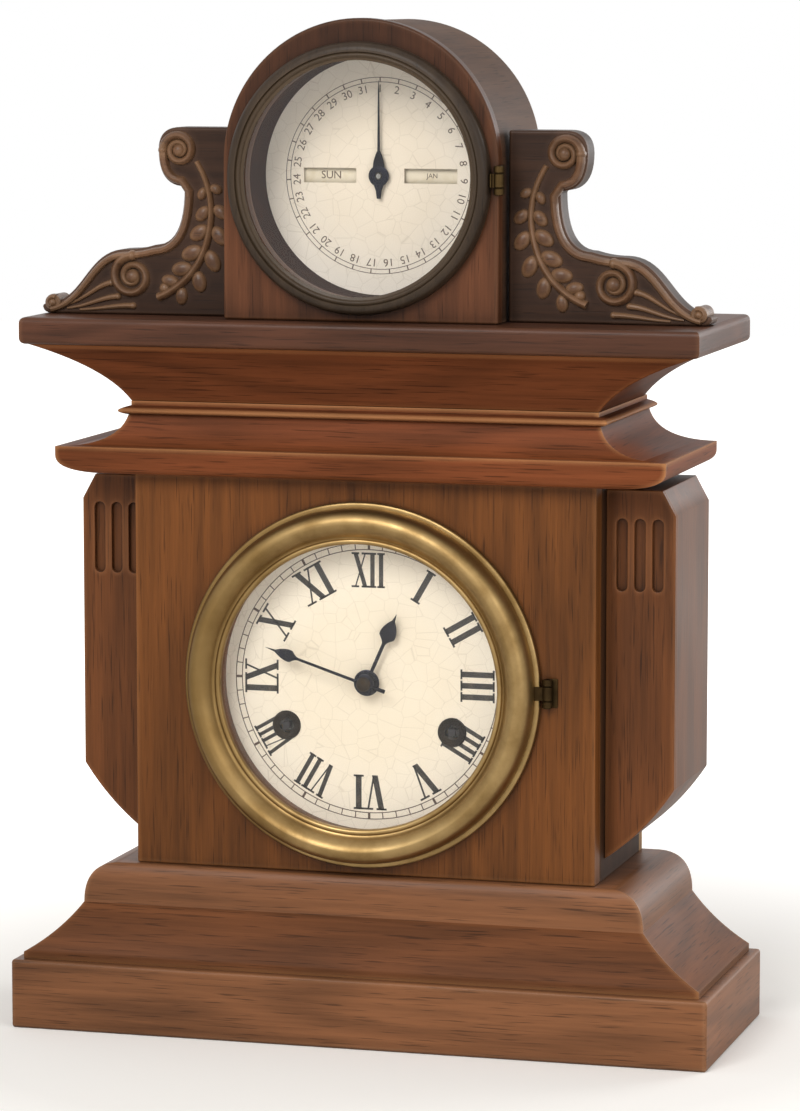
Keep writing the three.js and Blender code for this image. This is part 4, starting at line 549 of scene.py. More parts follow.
# Plinth: four boards mitred at the corners, open below
bm = bmesh.new()
sole = flat(bm, [(x, y, 0) for x, y in rectangle(-PLINTH_SIDE, PLINTH_SIDE, -PLINTH_FACE, PLINTH_FACE)])
boards = bmesh.ops.inset_region(bm, faces=[sole], thickness=PLINTH_BOARD, use_boundary=True, use_even_offset=True)
bmesh.ops.delete(bm, geom=[sole], context="FACES")
thicken(bm, boards["faces"], (0, 0, PLINTH_HEIGHT))
soften(bm, 1.4, 3)
finish(bm, "plinth_boards", "plinth_frame", HIGHLIT_PLINTH_WALNUT, side_grain=True)


def base_edge(foot, head):
    """Fillet, cove and ovolo from the plinth up to the body."""
    cove = PLINTH_HEIGHT + BASE_FILLET
    waist = head + (foot - head) * BASE_WAIST
    pull = (waist + (foot - waist) * COVE_PULL, cove + BASE_COVE_RISE * COVE_PULL)
    edge = bend([(foot, PLINTH_HEIGHT), (foot, cove)], pull, (waist, cove + BASE_COVE_RISE))
    return bend(edge, (waist, BASE_TOP), (head, BASE_TOP))


def eave_edge(nose, neck):
    """Cove, fascia, slope back to the neck, and the neck's bead."""
    fascia = BODY_TOP + EAVE_COVE_RISE
    slope = fascia + EAVE_FASCIA
    bead = EAVE_TOP - NECK_FILLET - BEAD_HEIGHT
    edge = bend([(neck + EAVE_SOFFIT, BODY_TOP)], (nose, BODY_TOP), (nose, fascia)) + [(nose, slope)]
    bend(edge, (neck + BEAD_REACH, slope), (neck + 1, bead))
    bend(edge, (neck + 2 * BEAD_REACH - 1, bead + BEAD_HEIGHT / 2), (neck, bead + BEAD_HEIGHT))
    return edge + [(neck, EAVE_TOP)]


def crown_edge(foot, head):
    """One cove from the neck out to the slab."""
    pull = (foot + (head - foot) * CROWN_PULL, EAVE_TOP + (CROWN_TOP - EAVE_TOP) * CROWN_LIFT)
    return bend([(foot, EAVE_TOP)], pull, (head, CROWN_TOP))


def slab_edge(reach):
    """A board's edge with its corners rounded over."""
    edge = bend([(reach - SLAB_NOSE, CROWN_TOP)], (reach, CROWN_TOP), (reach, CROWN_TOP + SLAB_NOSE), steps=6)
    edge += [(reach, SLAB_TOP - SLAB_NOSE)]
    return bend(edge, (reach, SLAB_TOP), (reach - SLAB_NOSE, SLAB_TOP), steps=6)


# Mouldings: over its cove the base changes from the walnut darkened as painted shade to the paler copy that is a
# painted highlight
for name, solid, wood, back, side_edge, front_edge, ease, parting in (
    ("base_cove_and_ovolo", "base_moulding", SHADED_COVE_WALNUT + HIGHLIT_PLINTH_WALNUT, BASE_FACE,
     base_edge(BASE_SIDE, BODY_SIDE + BASE_SIDE_LEDGE), base_edge(BASE_FACE, BODY_FRONT + BASE_FRONT_LEDGE), 0.7,
     PLINTH_HEIGHT + BASE_FILLET + BASE_COVE_RISE),
    ("eave_and_bead", "eave_moulding", EAVE_WALNUT, BODY_BACK,
     eave_edge(EAVE_SIDE, NECK_SIDE), eave_edge(EAVE_FACE, NECK_FACE), 0.5, math.inf),
    ("crown_cove", "crown_moulding", SHADED_CROWN_WALNUT, CROWN_BACK,
     crown_edge(NECK_SIDE, CROWN_SIDE), crown_edge(NECK_FACE, CROWN_FACE), 0.5, math.inf),
    ("shelf_slab", "top_slab", SLAB_WALNUT, SLAB_BACK, slab_edge(SLAB_SIDE), slab_edge(SLAB_FACE), 0.5, math.inf),
):
    bm = moulded_block(back, side_edge, front_edge)
    soften(bm, ease)
    finish(bm, name, solid, wood, side_grain=True, parting=parting)

# Front panel and case sides
BODY_FACE = rectangle(-BODY_SIDE, BODY_SIDE, BASE_TOP, BODY_TOP)
bm = board(-BODY_FRONT, BOARD - BODY_FRONT, BODY_FACE, disc(0, DIAL_AT, PANEL_OPENING), ease=0.8)
finish(bm, "panel_board", "front_panel", [PANEL_WALNUT])
for name, side in SIDES:
    inner, outer = sorted((side * (BODY_SIDE - BOARD), side * BODY_SIDE))
    bm = board(BOARD - BODY_FRONT, BOARD_FRONT, rectangle(inner, outer, BASE_TOP, BODY_TOP), ease=0.5)
    finish(bm, name + "_side_board", name + "_side", [SHADOWED_SIDE_WALNUT])

# Wings: curved corbel below, slanted shoulder above, and short flutes cut in the face
FLUTE_DEPTH, FLUTE_HALF, FLUTE_FOOT, FLUTE_HEAD, FLUTES_AT = 2.5, 2.4, 205, 232, (7, 15, 23)


def wing_outline(side):
    inner, outer = side * BODY_SIDE, side * WING_SIDE
    pull = (inner + (outer - inner) * CORBEL_PULL, WING_FOOT + WING_CORBEL * (1 - CORBEL_PULL))
    outline = bend([(inner, WING_FOOT)], pull, (outer, WING_FOOT + WING_CORBEL))
    return outline + [(outer, WING_HEAD - WING_SHOULDER), (outer - side * WING_SHOULDER_RUN, WING_HEAD),
                      (inner, WING_HEAD)]


def flute(x):
    """A stopped flute: a narrow slot with round ends."""
    return arc(x, FLUTE_FOOT, FLUTE_HALF, 180, 360, 8) + arc(x, FLUTE_HEAD, FLUTE_HALF, 0, 180, 8)


for name, side in SIDES:
    flutes = [flute(side * (BODY_SIDE + reach)) for reach in FLUTES_AT]
    bm = board(WING_FRONT, WING_FRONT + FLUTE_DEPTH, wing_outline(side), *flutes, ease=0.7)
    join(bm, board(WING_FRONT + FLUTE_DEPTH, BOARD_FRONT, wing_outline(side), ease=0.4))
    finish(bm, name + "_wing_bracket", name + "_wing", [SHADED_WING_WALNUT])


# Hood: arched front board with the calendar opening, bent shell, plain back
def arch(half):
    return [(-half, SLAB_TOP), (half, SLAB_TOP)] + arc(0, HOOD_SPRING, half, 0, 180, 64)


COLLAR_ROOT, COLLAR_EASE = 2, 0.5
bm = board(HOOD_FRONT, HOOD_FRONT_BACK, arch(HOOD_SIDE), disc(0, CALENDAR_AT, HOOD_OPENING), ease=1.2, segments=3)
# A collar let into its back hides the inside of the hood round the dial.
inner, root, rim = HOOD_OPENING + FIT, HOOD_FRONT_BACK - COLLAR_ROOT, CALENDAR_FACE - FIT
profile = [(inner, root), (CALENDAR_RADIUS, root), (CALENDAR_RADIUS, rim), (inner + COLLAR_EASE, rim),
           (inner, rim - COLLAR_EASE)]
join(bm, turned(profile, (0, 0, CALENDAR_AT), steps=128), material=1)
finish(bm, "hood_arch_board", "hood_front", [HOOD_WALNUT, COLLAR_SHADE_PAINT])
outside, inside = (arch(half) for half in (SHELL_SIDE, SHELL_SIDE - SHELL_WALL))
bm = board(HOOD_FRONT_BACK, HOOD_BACK, outside[1:] + outside[:1] + inside[:1] + inside[:0:-1], ease=0.6)
finish(bm, "hood_roof", "hood_shell", [ROOF_WALNUT])
bm = board(HOOD_BACK - HOOD_BACK_BOARD, HOOD_BACK, arch(SHELL_SIDE - SHELL_WALL - FIT), ease=0.5)
finish(bm, "hood_rear_board", "hood_back", [PINE])

# Carved scroll boards: a volute in the ear, a leaf down the body, a rolled hump and a knob at the tail
SCROLL_START, SCROLL_FACE, SCROLL_BACK = HOOD_SIDE + FIT, -28, -14
TAIL_GAP, TAIL_RISE, ROLL_INSET = 0.7, 4, 2.7
SCROLL_TAIL = SLAB_SIDE - TAIL_GAP - SCROLL_START
EAR, EAR_ROLL = (25, 73), 7.3
HUMP, HUMP_ROLL = (47, 17), 9.3
KNOB, KNOB_ROLL = (84.5, 4.8), 2.6
# Where each reed starts, is drawn to and ends
REEDS = (((57, 14), (64, 13), (70, 5.5), (80, 3.6)), ((54, 8), (62, 7.5), (68, 3.4), (78, 2.4)),
         ((47, 4), (56, 4), (62, 2.2), (72, 1.8)))


def scroll_outline():
    """The sawn edge of the right-hand board: (reach from the hood, height over the slab)."""
    hump, notch, neck, ear, top = (50, 29), (37, 31), (23, 57), (35, 73), (25, 83)
    tail, between = (SCROLL_TAIL, TAIL_RISE), (SCROLL_TAIL + hump[0]) / 2
    edge = bend([(0, 0), (SCROLL_TAIL - TAIL_RISE, 0)], (SCROLL_TAIL, 0), tail, steps=5)
    bend(edge, (between, TAIL_RISE), (between, hump[1]), hump, steps=20)
    bend(edge, ((hump[0] + notch[0]) / 2, hump[1]), notch, steps=8)
    bend(edge, (neck[0], notch[1]), neck, steps=12)
    bend(edge, (ear[0], neck[1]), ear, steps=12)
    return bend(edge, (ear[0], top[1]), top, steps=10) + [(0, top[1])]


def spiral(centre, outer, inner, start, turns, steps=44):
    """Points that wind in round a centre, from an angle in degrees."""
    made = []
    for i in range(steps + 1):
        angle, radius = math.radians(start + 360 * turns * i / steps), outer + (inner - outer) * i / steps
        made.append((centre[0] + radius * math.cos(angle), centre[1] + radius * math.sin(angle)))
    return made


def ridge(bm, path, wide, narrow, lift):
    """A rounded ridge left standing along a path, tapering from one half width to another."""
    drawn_wire(bm, path, wide, narrow, Matrix.Translation((0, SCROLL_FACE, 0)) @ Matrix.Diagonal((1, lift, 1, 1)))


def lobe(bm, foot, tip, half, lift):
    """One rounded lobe of a leaf, from its foot to its tip."""
    foot, tip = Vector((foot[0], 0, foot[1])), Vector((tip[0], 0, tip[1]))
    place = Matrix.Translation((foot + tip) / 2 + Vector((0, SCROLL_FACE, 0)))
    turn = Matrix.Rotation(-math.atan2(tip.z - foot.z, tip.x - foot.x), 4, "Y")
    shape = Matrix.Diagonal(((tip - foot).length / 2, lift, half, 1))
    bmesh.ops.create_uvsphere(bm, u_segments=20, v_segments=12, radius=1, matrix=place @ turn @ shape)


def inset(path, depth):
    """A path moved to its left by a depth."""
    made = []
    for (x0, z0), (x1, z1) in zip(path, path[1:]):
        run = math.hypot(x1 - x0, z1 - z0) or 1
        made.append(((x0 + x1) / 2 - (z1 - z0) / run * depth, (z0 + z1) / 2 + (x1 - x0) / run * depth))
    return made


def sprig(bm, stem, first, last, every, length, half, lift):
    """Leaves in pairs along a stem, growing and shrinking again towards its end."""
    gap, splay = 1.4, 0.85
    for i in range(first, last, every):
        (x0, z0), (x1, z1) = stem[i - 1], stem[i + 1]
        heading = math.atan2(z1 - z0, x1 - x0)
        size = 0.75 + 0.45 * math.sin(math.pi * (i - first) / (last - first))
        for way in (heading - splay, heading + splay):
            foot, tip = ((stem[i][0] + run * math.cos(way), stem[i][1] + run * math.sin(way))
                         for run in (gap, size * length))
            lobe(bm, foot, tip, size * half, lift)


for name, side in SIDES:
    bm = board(SCROLL_FACE, SCROLL_BACK, scroll_outline(), ease=2.0, segments=4)
    # A roll follows the sawn edge from the tail over the hump and up the neck to the ear
    relief = bmesh.new()
    ear_turn, hump_turn = spiral(EAR, EAR_ROLL, 1.6, 0, 1.9), spiral(HUMP, HUMP_ROLL, 1.6, 90, -1.9)
    ridge(relief, inset(scroll_outline()[7:-12], ROLL_INSET) + ear_turn[:1], 1.5, 2.1, 1.6)
    ridge(relief, ear_turn, 2.1, 1.0, 1.7)
    ridge(relief, hump_turn, 2.2, 1.1, 1.7)
    ridge(relief, spiral(KNOB, KNOB_ROLL, 0.6, 120, -1.3, 30), 1.5, 0.8, 1.8)
    # The stem leaves the ear's volute, runs down inside the neck and feeds the hump's volute
    stem = bend(bend([(17, 68)], (8, 54), (11, 38)), (15, 16), (35, 8), steps=16)
    ridge(relief, stem, 1.2, 2.0, 1.7)
    sprig(relief, stem, 5, 29, 4, 10, 2.9, 2.7)
    # Reeds fan from the hump's volute along the tail
    for lift, (start, *pulls) in zip((1.5, 1.4, 1.3), REEDS):
        ridge(relief, bend([start], *pulls), 1.5, 0.6, lift)
    roller = [(0, SCROLL_FACE - 1.6), (3, SCROLL_FACE - 1.6), (3.6, SCROLL_FACE - 1),
              (3.6, SCROLL_BACK - 0.6), (3, SCROLL_BACK), (0, SCROLL_BACK)]
    join(relief, turned(roller, (KNOB[0], 0, KNOB[1]), steps=32))
    # Bosses in the volutes, and where the volutes and reeds grow out of the roll
    for (reach, height), radius, lift in (
        (EAR, 3.0, 3.4), (HUMP, 3.4, 3.6), (KNOB, 2.2, 3.0), ((32, 12), 2.6, 2.8), (ear_turn[0], 2.3, 3.7),
        (hump_turn[0], 2.4, 3.8), *((reed[0], 1.6, lift) for reed, lift in zip(REEDS, (2.3, 2.2, 2.0))),
    ):
        lobe(relief, (reach - radius, height), (reach + radius, height), radius, lift)
    join(bm, relief, material=1)
    shift(bm, SCROLL_START, SLAB_TOP)
    bmesh.ops.scale(bm, vec=(side, 1, 1), verts=bm.verts)
    finish(bm, name + "_scroll_carving", name + "_scroll", [SHADED_GROUND_WALNUT, HIGHLIT_CARVED_WALNUT])


# Small brass butt hinges: a leaf with two knuckles and the pin, and the door's knuckle between them
HINGE_PIN, HINGE_BARREL, HINGE_HALF, KNUCKLE_HALF, KNUCKLE_GAP = 1.1, 2.2, 6.3, 3, 0.3
KNUCKLE_EASE, PLATE_EASE, PIN_SLACK = 0.35, 0.2, 0.2
BEZEL_PIN, RING_PIN, DOOR_PIN = (84.2, -43), (62.8, -46.5), (72, 55)
DOOR_AT = 165


def barrel(pin, foot, head, bore=0):
    """A hinge knuckle round the pin."""
    return turned(eased(bore, HINGE_BARREL, foot, head, KNUCKLE_EASE), (*pin, 0), ALONG_Z, 24)


def knuckle(pin, height, *arms):
    """The door's half: the middle knuckle and the arms, (x, y) limits, that carry it."""
    rise = (height - KNUCKLE_HALF, height + KNUCKLE_HALF)
    return join(barrel(pin, *rise, HINGE_PIN + PIN_SLACK), *(block(x, y, rise, PLATE_EASE) for x, y in arms))


def butt_hinge(pin, height, leaf, bridge):
    """The case's half: a leaf, the pin, and a knuckle at each end bridged to the leaf."""
    low, high = height - HINGE_HALF, height + HINGE_HALF
    bm = join(block(*leaf, (low, high), PLATE_EASE), rod((*pin, low), (*pin, high), HINGE_PIN))
    for end in (-1, 1):
        rise = sorted((height + end * (KNUCKLE_HALF + KNUCKLE_GAP), height + end * HINGE_HALF))
        join(bm, barrel(pin, *rise), block(*bridge, rise, PLATE_EASE))
    return bm


for name, pin, height, leaf, bridge in (
    ("bezel_hinge", BEZEL_PIN, DIAL_AT, ((83.1, 88.2), (-40.8, -40)), ((83.1, 85.3), (-43, -40.4))),
    ("calendar_ring_hinge", RING_PIN, CALENDAR_AT, ((62, 62.8), (-45.4, -36.3)), ((62, 63.6), (-46.5, -41.8))),
    ("back_door_hinge", DOOR_PIN, DOOR_AT, ((72, 78.2), (52.03, 52.83)), ((70.9, 73.1), (52.4, 55))),
):
    finish(butt_hinge(pin, height, leaf, bridge), name + "_leaf", name, [DARK_BRASS])
for name, pin, height, *arms in (
    ("calendar_ring", RING_PIN, CALENDAR_AT, ((59.3, 62.8), (-47.6, -45.4)), ((59.3, 60.1), (-48.7, -44.3))),
    ("back_door", DOOR_PIN, DOOR_AT, ((65.8, 72), (52.3, 53.1)), ((69.8, 72), (52.3, 55))),
):
    finish(knuckle(pin, height, *arms), name + "_eye", name + "_knuckle", [DARK_BRASS])

# Back board with its door, and the brass turn button on a pivot
DOOR_SIDE, DOOR_FOOT, DOOR_TOP = 72, 95, 235
BUTTON_AT, BUTTON_HALF, BUTTON_END = (-82, DOOR_AT), 12.5, 3.5
bm = board(BOARD_FRONT, BODY_BACK, BODY_FACE, rectangle(-DOOR_SIDE, DOOR_SIDE, DOOR_FOOT, DOOR_TOP),
           disc(*BUTTON_AT, 1.7, 16), ease=0.4)
finish(bm, "rear_boarding", "back_board", [PINE])
door = rectangle(FIT - DOOR_SIDE, DOOR_SIDE - FIT, DOOR_FOOT + FIT, DOOR_TOP - FIT)
finish(board(BOARD_FRONT, BODY_BACK, door, ease=0.9), "rear_door_board", "back_door", [PINE])
x, z = BUTTON_AT
waist = [(3.4, -BUTTON_HALF), (2.2, -6), (3.2, 0), (2.2, 6), (3.4, BUTTON_HALF)]
outline = [(x + reach, z + along) for reach, along in waist] + arc(x, z + BUTTON_HALF, BUTTON_END, 0, 180, 10)
outline += [(x - reach, z + along) for reach, along in reversed(waist)]
outline += arc(x, z - BUTTON_HALF, BUTTON_END, 180, 360, 10)
pivot = [(0, 46), (1.5, 46), (1.5, 54), (3, 54.2), (2.7, 54.9), (1.6, 55.3), (0, 55.3)]
bm = join(board(BODY_BACK + FIT, BODY_BACK + 2.6, outline, ease=0.5), turned(pivot, (x, 0, z), steps=24))
finish(bm, "turn_button_blade", "door_turn_button", [DARK_BRASS])

# Bezel: thin rim, rounded shoulder, hollow slope and an inner bead that holds the glass
sight, rim, back, face = BEZEL_SIGHT, BEZEL_RADIUS, BEZEL_BACK, BEZEL_BACK - 13.5
profile = [(sight + GLASS_SEAT, back), (rim, back), (rim, back - 2.2)]
bend(profile, (rim, back - 3.2), (rim - 1.2, back - 3.4), steps=5)
profile += [(rim - 2.2, back - 3.4)]
bend(profile, (rim - 2.6, face), (rim - 8.6, face))
bend(profile, (sight + 6.5, face + 0.4), (sight + 3.4, back - 8.2), steps=12)
profile += [(sight + 2.6, back - 8.0)] + arc(sight + 1.3, back - 7.6, 1.3, 0, -180, 8)[1:]
profile += [(sight, back - 6), (sight + GLASS_SEAT, back - 6)]
bm = turned(profile, (0, 0, DIAL_AT), steps=160)
join(bm, knuckle(BEZEL_PIN, DIAL_AT, ((78, BEZEL_PIN[0]), (-44.1, -41.9))), material=1)
finish(bm, "spun_bezel", "time_bezel", [BEZEL_BRASS, DARK_BRASS], crease=45)

# Glasses: flat discs with ground edges
for name, radius, height, (front, back) in (
    ("time_glass", BEZEL_SIGHT + GLASS_LAND, DIAL_AT, (-46, -44)),
    ("calendar_glass", RING_SIGHT + GLASS_LAND, CALENDAR_AT, (-48, -46.4)),
):
    finish(board(front, back, disc(0, height, radius, 128), ease=0.3, segments=1), name + "_disc", name, [GLASS])

# Turned ring round the calendar glass: two beads with a quirk between them
sight, rim, back, face = RING_SIGHT, RING_RADIUS, RING_BACK, RING_BACK - 6.7
profile = [(sight + GLASS_SEAT, back), (rim, back), (rim, back - 1.8)]
bend(profile, (rim, face), (rim - 4.2, face), steps=10)
profile += [(rim - 4.6, face + 1.0)]
bend(profile, (rim - 6.0, face - 0.6), (sight + 1.2, back - 5.2), steps=8)
profile += [(sight, back - 4.8), (sight, back - 4), (sight + GLASS_SEAT, back - 4)]
finish(turned(profile, (0, 0, CALENDAR_AT), steps=128), "turned_ring", "calendar_ring", [RING_WALNUT], crease=45)

# Dials
WINDOWS_FROM, WINDOW_WIDE, WINDOW_HALF = (-35, 11), 24, 3.2
holes = [disc(0, DIAL_AT, 3.5, 32)]
holes += [disc(side * WINDING_REACH, DIAL_AT - WINDING_DROP, 4.8, 32) for _, side in SIDES]
bm = board(DIAL_FACE, DIAL_BACK, disc(0, DIAL_AT, DIAL_RADIUS, 128), *holes, ease=0.15, segments=1)
finish(bm, "time_dial_plate", "time_dial", [TIME_PAINT])
holes = [disc(0, CALENDAR_AT, 1.8, 24)]
holes += [rectangle(x, x + WINDOW_WIDE, CALENDAR_AT - WINDOW_HALF, CALENDAR_AT + WINDOW_HALF) for x in WINDOWS_FROM]
bm = board(CALENDAR_FACE, CALENDAR_BACK, disc(0, CALENDAR_AT, CALENDAR_RADIUS, 128), *holes, ease=0.15, segments=1)
finish(bm, "calendar_dial_plate", "calendar_dial", [CALENDAR_PAINT])

# Calendar print: a ring of dates and day marks, and words on the two rollers
DAYS, DATES_AT, DATE_TALL, DATE_TRACK, DATE_LINE, MARK_HALF = 31, 38, 3.4, (41, 43), 0.15, 0.25
WINDOW_AT, ROLLER_RADIUS, ROLLER_AT, ROLLER_HALF, ROLLER_EASE = 23, 8.5, -1, 15, 0.6
AXLE_HALF, AXLE_RADIUS = 16.8, 1.2
PRINT, CAPITAL_HEIGHT = 0.06, 0.7
WEEKDAYS = "SUN MON TUE WED THU FRI SAT".split()
MONTHS = "JAN FEB MAR APR MAY JUN JUL AUG SEP OCT NOV DEC".split()


def words(bm, text, tall, place):
    """Words or figures as a thin layer of ink, upright and facing the front."""
    curve = bpy.data.curves.new("words", "FONT")
    curve.body, curve.size, curve.extrude, curve.resolution_u = text, tall / CAPITAL_HEIGHT, PRINT / 2, 3
    curve.align_x = curve.align_y = "CENTER"
    set_curve(bm, curve, place @ Matrix.Rotation(math.pi / 2, 4, "X"))


def thin_ring(radius, half, face, height):
    """A printed circle."""
    return turned(rectangle(radius - half, radius + half, face, face - PRINT), (0, 0, height), steps=160)


def on_dial(face, height, degrees):
    """A place at the middle of a dial, turned clockwise."""
    return Matrix.Translation((0, face, height)) @ Matrix.Rotation(math.radians(degrees), 4, "Y")


bm = bmesh.new()
for day in range(DAYS):
    place = on_dial(CALENDAR_FACE - PRINT / 2, CALENDAR_AT, 360 * day / DAYS)
    words(bm, str(day + 1), DATE_TALL, place @ Matrix.Translation((0, 0, DATES_AT)))
    mark = block((-MARK_HALF, MARK_HALF), (-PRINT / 2, PRINT / 2), DATE_TRACK)
    bmesh.ops.transform(mark, matrix=place, verts=mark.verts)
    join(bm, mark)
join(bm, *(thin_ring(radius, DATE_LINE, CALENDAR_FACE, CALENDAR_AT) for radius in DATE_TRACK))
finish(bm, "date_ring_print", "calendar_dial", [FADED_INK], replaces=False)
for name, side, names, tall in (("weekday", -1, WEEKDAYS, 3.4), ("month", 1, MONTHS, 2.1)):
    middle = Vector((side * WINDOW_AT, ROLLER_AT, CALENDAR_AT))
    drum = turned(eased(0, ROLLER_RADIUS, -ROLLER_HALF, ROLLER_HALF, ROLLER_EASE), middle, ALONG_X, 64)
    end = Vector((AXLE_HALF, 0, 0))
    bm = join(drum, rod(middle - end, middle + end, AXLE_RADIUS), material=1)
    finish(bm, name + "_drum", name + "_roller", [PAPER, STEEL])
    bm = bmesh.new()
    for i, word in enumerate(names):
        turn = Matrix.Translation(middle) @ Matrix.Rotation(2 * math.pi * i / len(names), 4, "X")
        words(bm, word, tall, turn @ Matrix.Translation((0, -ROLLER_RADIUS - PRINT / 2, 0)))
    finish(bm, name + "_words", name + "_roller", [FADED_INK], replaces=False)

# Roman hours: thick and thin strokes with serifs, feet towards the centre
HOURS = "XII I II III IIII V VI VII VIII IX X XI".split()
NUMERAL_AT, NUMERAL_TALL, NUMERAL_WIDE, MINUTE_TRACK = 49.5, 15.5, 15, (58.6, 61.4)
HOUR_MARK, MINUTE_MARK, TRACK_LINE = 1.1, 0.45, 0.2
THICK, THIN, SERIF, LEAN, V_GAP = 0.17, 0.055, 0.15, 0.2, 0.03
LETTER_WIDTH = {"I": 0.34, "V": 0.62, "X": 0.62}
# A letter is one unit tall: its strokes as (foot, top, width), and where its serifs lie, as (x, z)
LETTERS = {
    "I": (((0, 0, THICK),), ((0, 0.5), (0, -0.5))),
    "V": (((0, -LEAN, THICK), (V_GAP, LEAN, THIN)), ((-LEAN, 0.5), (LEAN, 0.5))),
    "X": (((LEAN, -LEAN, THICK), (-LEAN, LEAN, THIN)), ((-LEAN, 0.5), (LEAN, 0.5), (-LEAN, -0.5), (LEAN, -0.5))),
}


def stroke(bm, start, end, width, place):
    """One pen stroke with level ends, a little proud of the dial."""
    (x0, z0), (x1, z1), half = start, end, width / 2
    outline = [(x0 - half, z0), (x0 + half, z0), (x1 + half, z1), (x1 - half, z1)]
    thicken(bm, [flat(bm, [place @ Vector((x, 0, z)) for x, z in outline])], (0, -PRINT, 0))


def letter(bm, glyph, place):
    """A capital I, V or X about its own middle."""
    strokes, serifs = LETTERS[glyph]
    for foot, top, width in strokes:
        stroke(bm, (foot, -0.5), (top, 0.5), width, place)
    for x, z in serifs:
        stroke(bm, (x, z), (x, z - THIN if z > 0 else z + THIN), 2 * SERIF, place)


bm = bmesh.new()
for hour, numeral in enumerate(HOURS):
    wide = sum(LETTER_WIDTH[glyph] for glyph in numeral)
    squeeze = min(1, NUMERAL_WIDE / (wide * NUMERAL_TALL))
    size = Matrix.Diagonal((NUMERAL_TALL * squeeze, 1, NUMERAL_TALL, 1))
    place = on_dial(DIAL_FACE, DIAL_AT, 30 * hour) @ Matrix.Translation((0, 0, NUMERAL_AT)) @ size
    start = -wide / 2
    for glyph in numeral:
        letter(bm, glyph, place @ Matrix.Translation((start + LETTER_WIDTH[glyph] / 2, 0, 0)))
        start += LETTER_WIDTH[glyph]
track = bmesh.new()
join(track, *(thin_ring(radius, TRACK_LINE, DIAL_FACE, DIAL_AT) for radius in MINUTE_TRACK))
for minute in range(60):
    width = MINUTE_MARK if minute % 5 else HOUR_MARK
    stroke(track, *((0, radius) for radius in MINUTE_TRACK), width, on_dial(DIAL_FACE, DIAL_AT, 6 * minute))
join(bm, track, material=1)
finish(bm, "hour_numerals_and_minute_track", "time_dial", [INK, FADED_INK], replaces=False)

# Collets: thin brass cups pressed into the winding holes
for name, side in SIDES:
    profile = [(3.2, DIAL_FACE - 0.3), (5.2, DIAL_FACE - 0.8), (6.2, DIAL_FACE - 0.8), (6.5, DIAL_FACE - 0.4),
               (6.5, DIAL_FACE), (4.6, DIAL_FACE), (4.6, DIAL_BACK + 0.8), (3.2, DIAL_BACK + 0.8)]
    bm = turned(profile, (side * WINDING_REACH, 0, DIAL_AT - WINDING_DROP), steps=48)
    finish(bm, name + "_pressed_collet", name + "_winding_collet", [BLACKED_BRASS])

# Hands: blued spades, flat and thin, with a chamfered edge, drawn as right halves upwards from the foot
HOUR_HAND = bend([(0.8, 0), (0.8, 19)], (1, 20.5), (3.6, 22.5), steps=8)
HOUR_HAND = bend(HOUR_HAND, (4.4, 26), (0.7, 30.5), steps=10) + [(0, 34)]
MINUTE_HAND = bend([(0.9, -10), (0.7, 0), (0.6, 32)], (0.8, 33.5), (2.6, 35.2), steps=8)
MINUTE_HAND = bend(MINUTE_HAND, (3.2, 38.5), (0.5, 43), steps=10) + [(0, 48)]
DATE_HAND = bend([(0.9, -10), (1.3, -6.5), (2.6, -3), (2.6, 4)], (2.4, 7.5), (0.6, 11), steps=8)
DATE_HAND += [(0.3, 38), (0, 42)]
for name, half, turn, (front, back), hub, bore, height in (
    ("hour", HOUR_HAND, 24, (-34.4, -33.6), 5.8, 3.4, DIAL_AT),
    ("minute", MINUTE_HAND, 288, (-38.4, -37.6), 4.4, 2.0, DIAL_AT),
    ("date", DATE_HAND, 0, (-14.8, -14), 4.6, 1.7, CALENDAR_AT),
):
    spade = half + [(-x, z) for x, z in reversed(half) if x > 0]
    bm = board(front + 0.05, back, spade, disc(0, 0, bore, 24), ease=0.25, segments=1)
    profile = [(bore, front), (hub - 0.4, front), (hub, front + 0.3), (hub, back), (bore, back)]
    join(bm, turned(profile, steps=48))
    bmesh.ops.transform(bm, matrix=on_dial(0, height, turn), verts=bm.verts)
    finish(bm, name + "_hand_spade", name + "_hand", [BLUED])
profile = [(0, -41.2), (1.2, -41.1), (2.4, -40.5), (3.1, -39.6), (3.2, -38.9), (3.0, -38.7), (0, -38.7)]
finish(turned(profile, (0, 0, DIAL_AT), steps=36), "domed_hand_nut", "hand_nut", [DARK_BRASS])

# Movement: plates, posts and pillars
PLATE_FRONT, PLATE_INNER, REAR_PLATE, REAR_PLATE_BACK = -18, -16.5, 18, 19.5
PLATE_SIDE, PLATE_REACH, PLATE_CORNER = 64.69, 58.7, 5
POSTS, POST_FRONT, PILLAR_RADIUS = (60.19, 54.2), -30, 3
PILLARS = ((54.69, 48.7), (WINDING_REACH, -52.3))
ARBOR_AT = {joint["child"]: Vector(joint["pos_m"]) / MM for joint in frame["joints"] if "pos_m" in joint}
STOUT, FINE, CENTRE, WINDING = 1.1, 0.75, 1.8, 3
ARBORS = {
    "second_wheel_body": STOUT, "strike_second_wheel_body": STOUT, "third_wheel_body": FINE,
    "escape_wheel_body": FINE, "strike_fly_body": STOUT, "verge_body": STOUT, "minute_work": CENTRE,
    "time_great_wheel_body": WINDING, "strike_great_wheel_body": WINDING,
}


def pivot_hole(body, radius):
    return disc(ARBOR_AT[body].x, ARBOR_AT[body].z, radius + 0.2, 20)


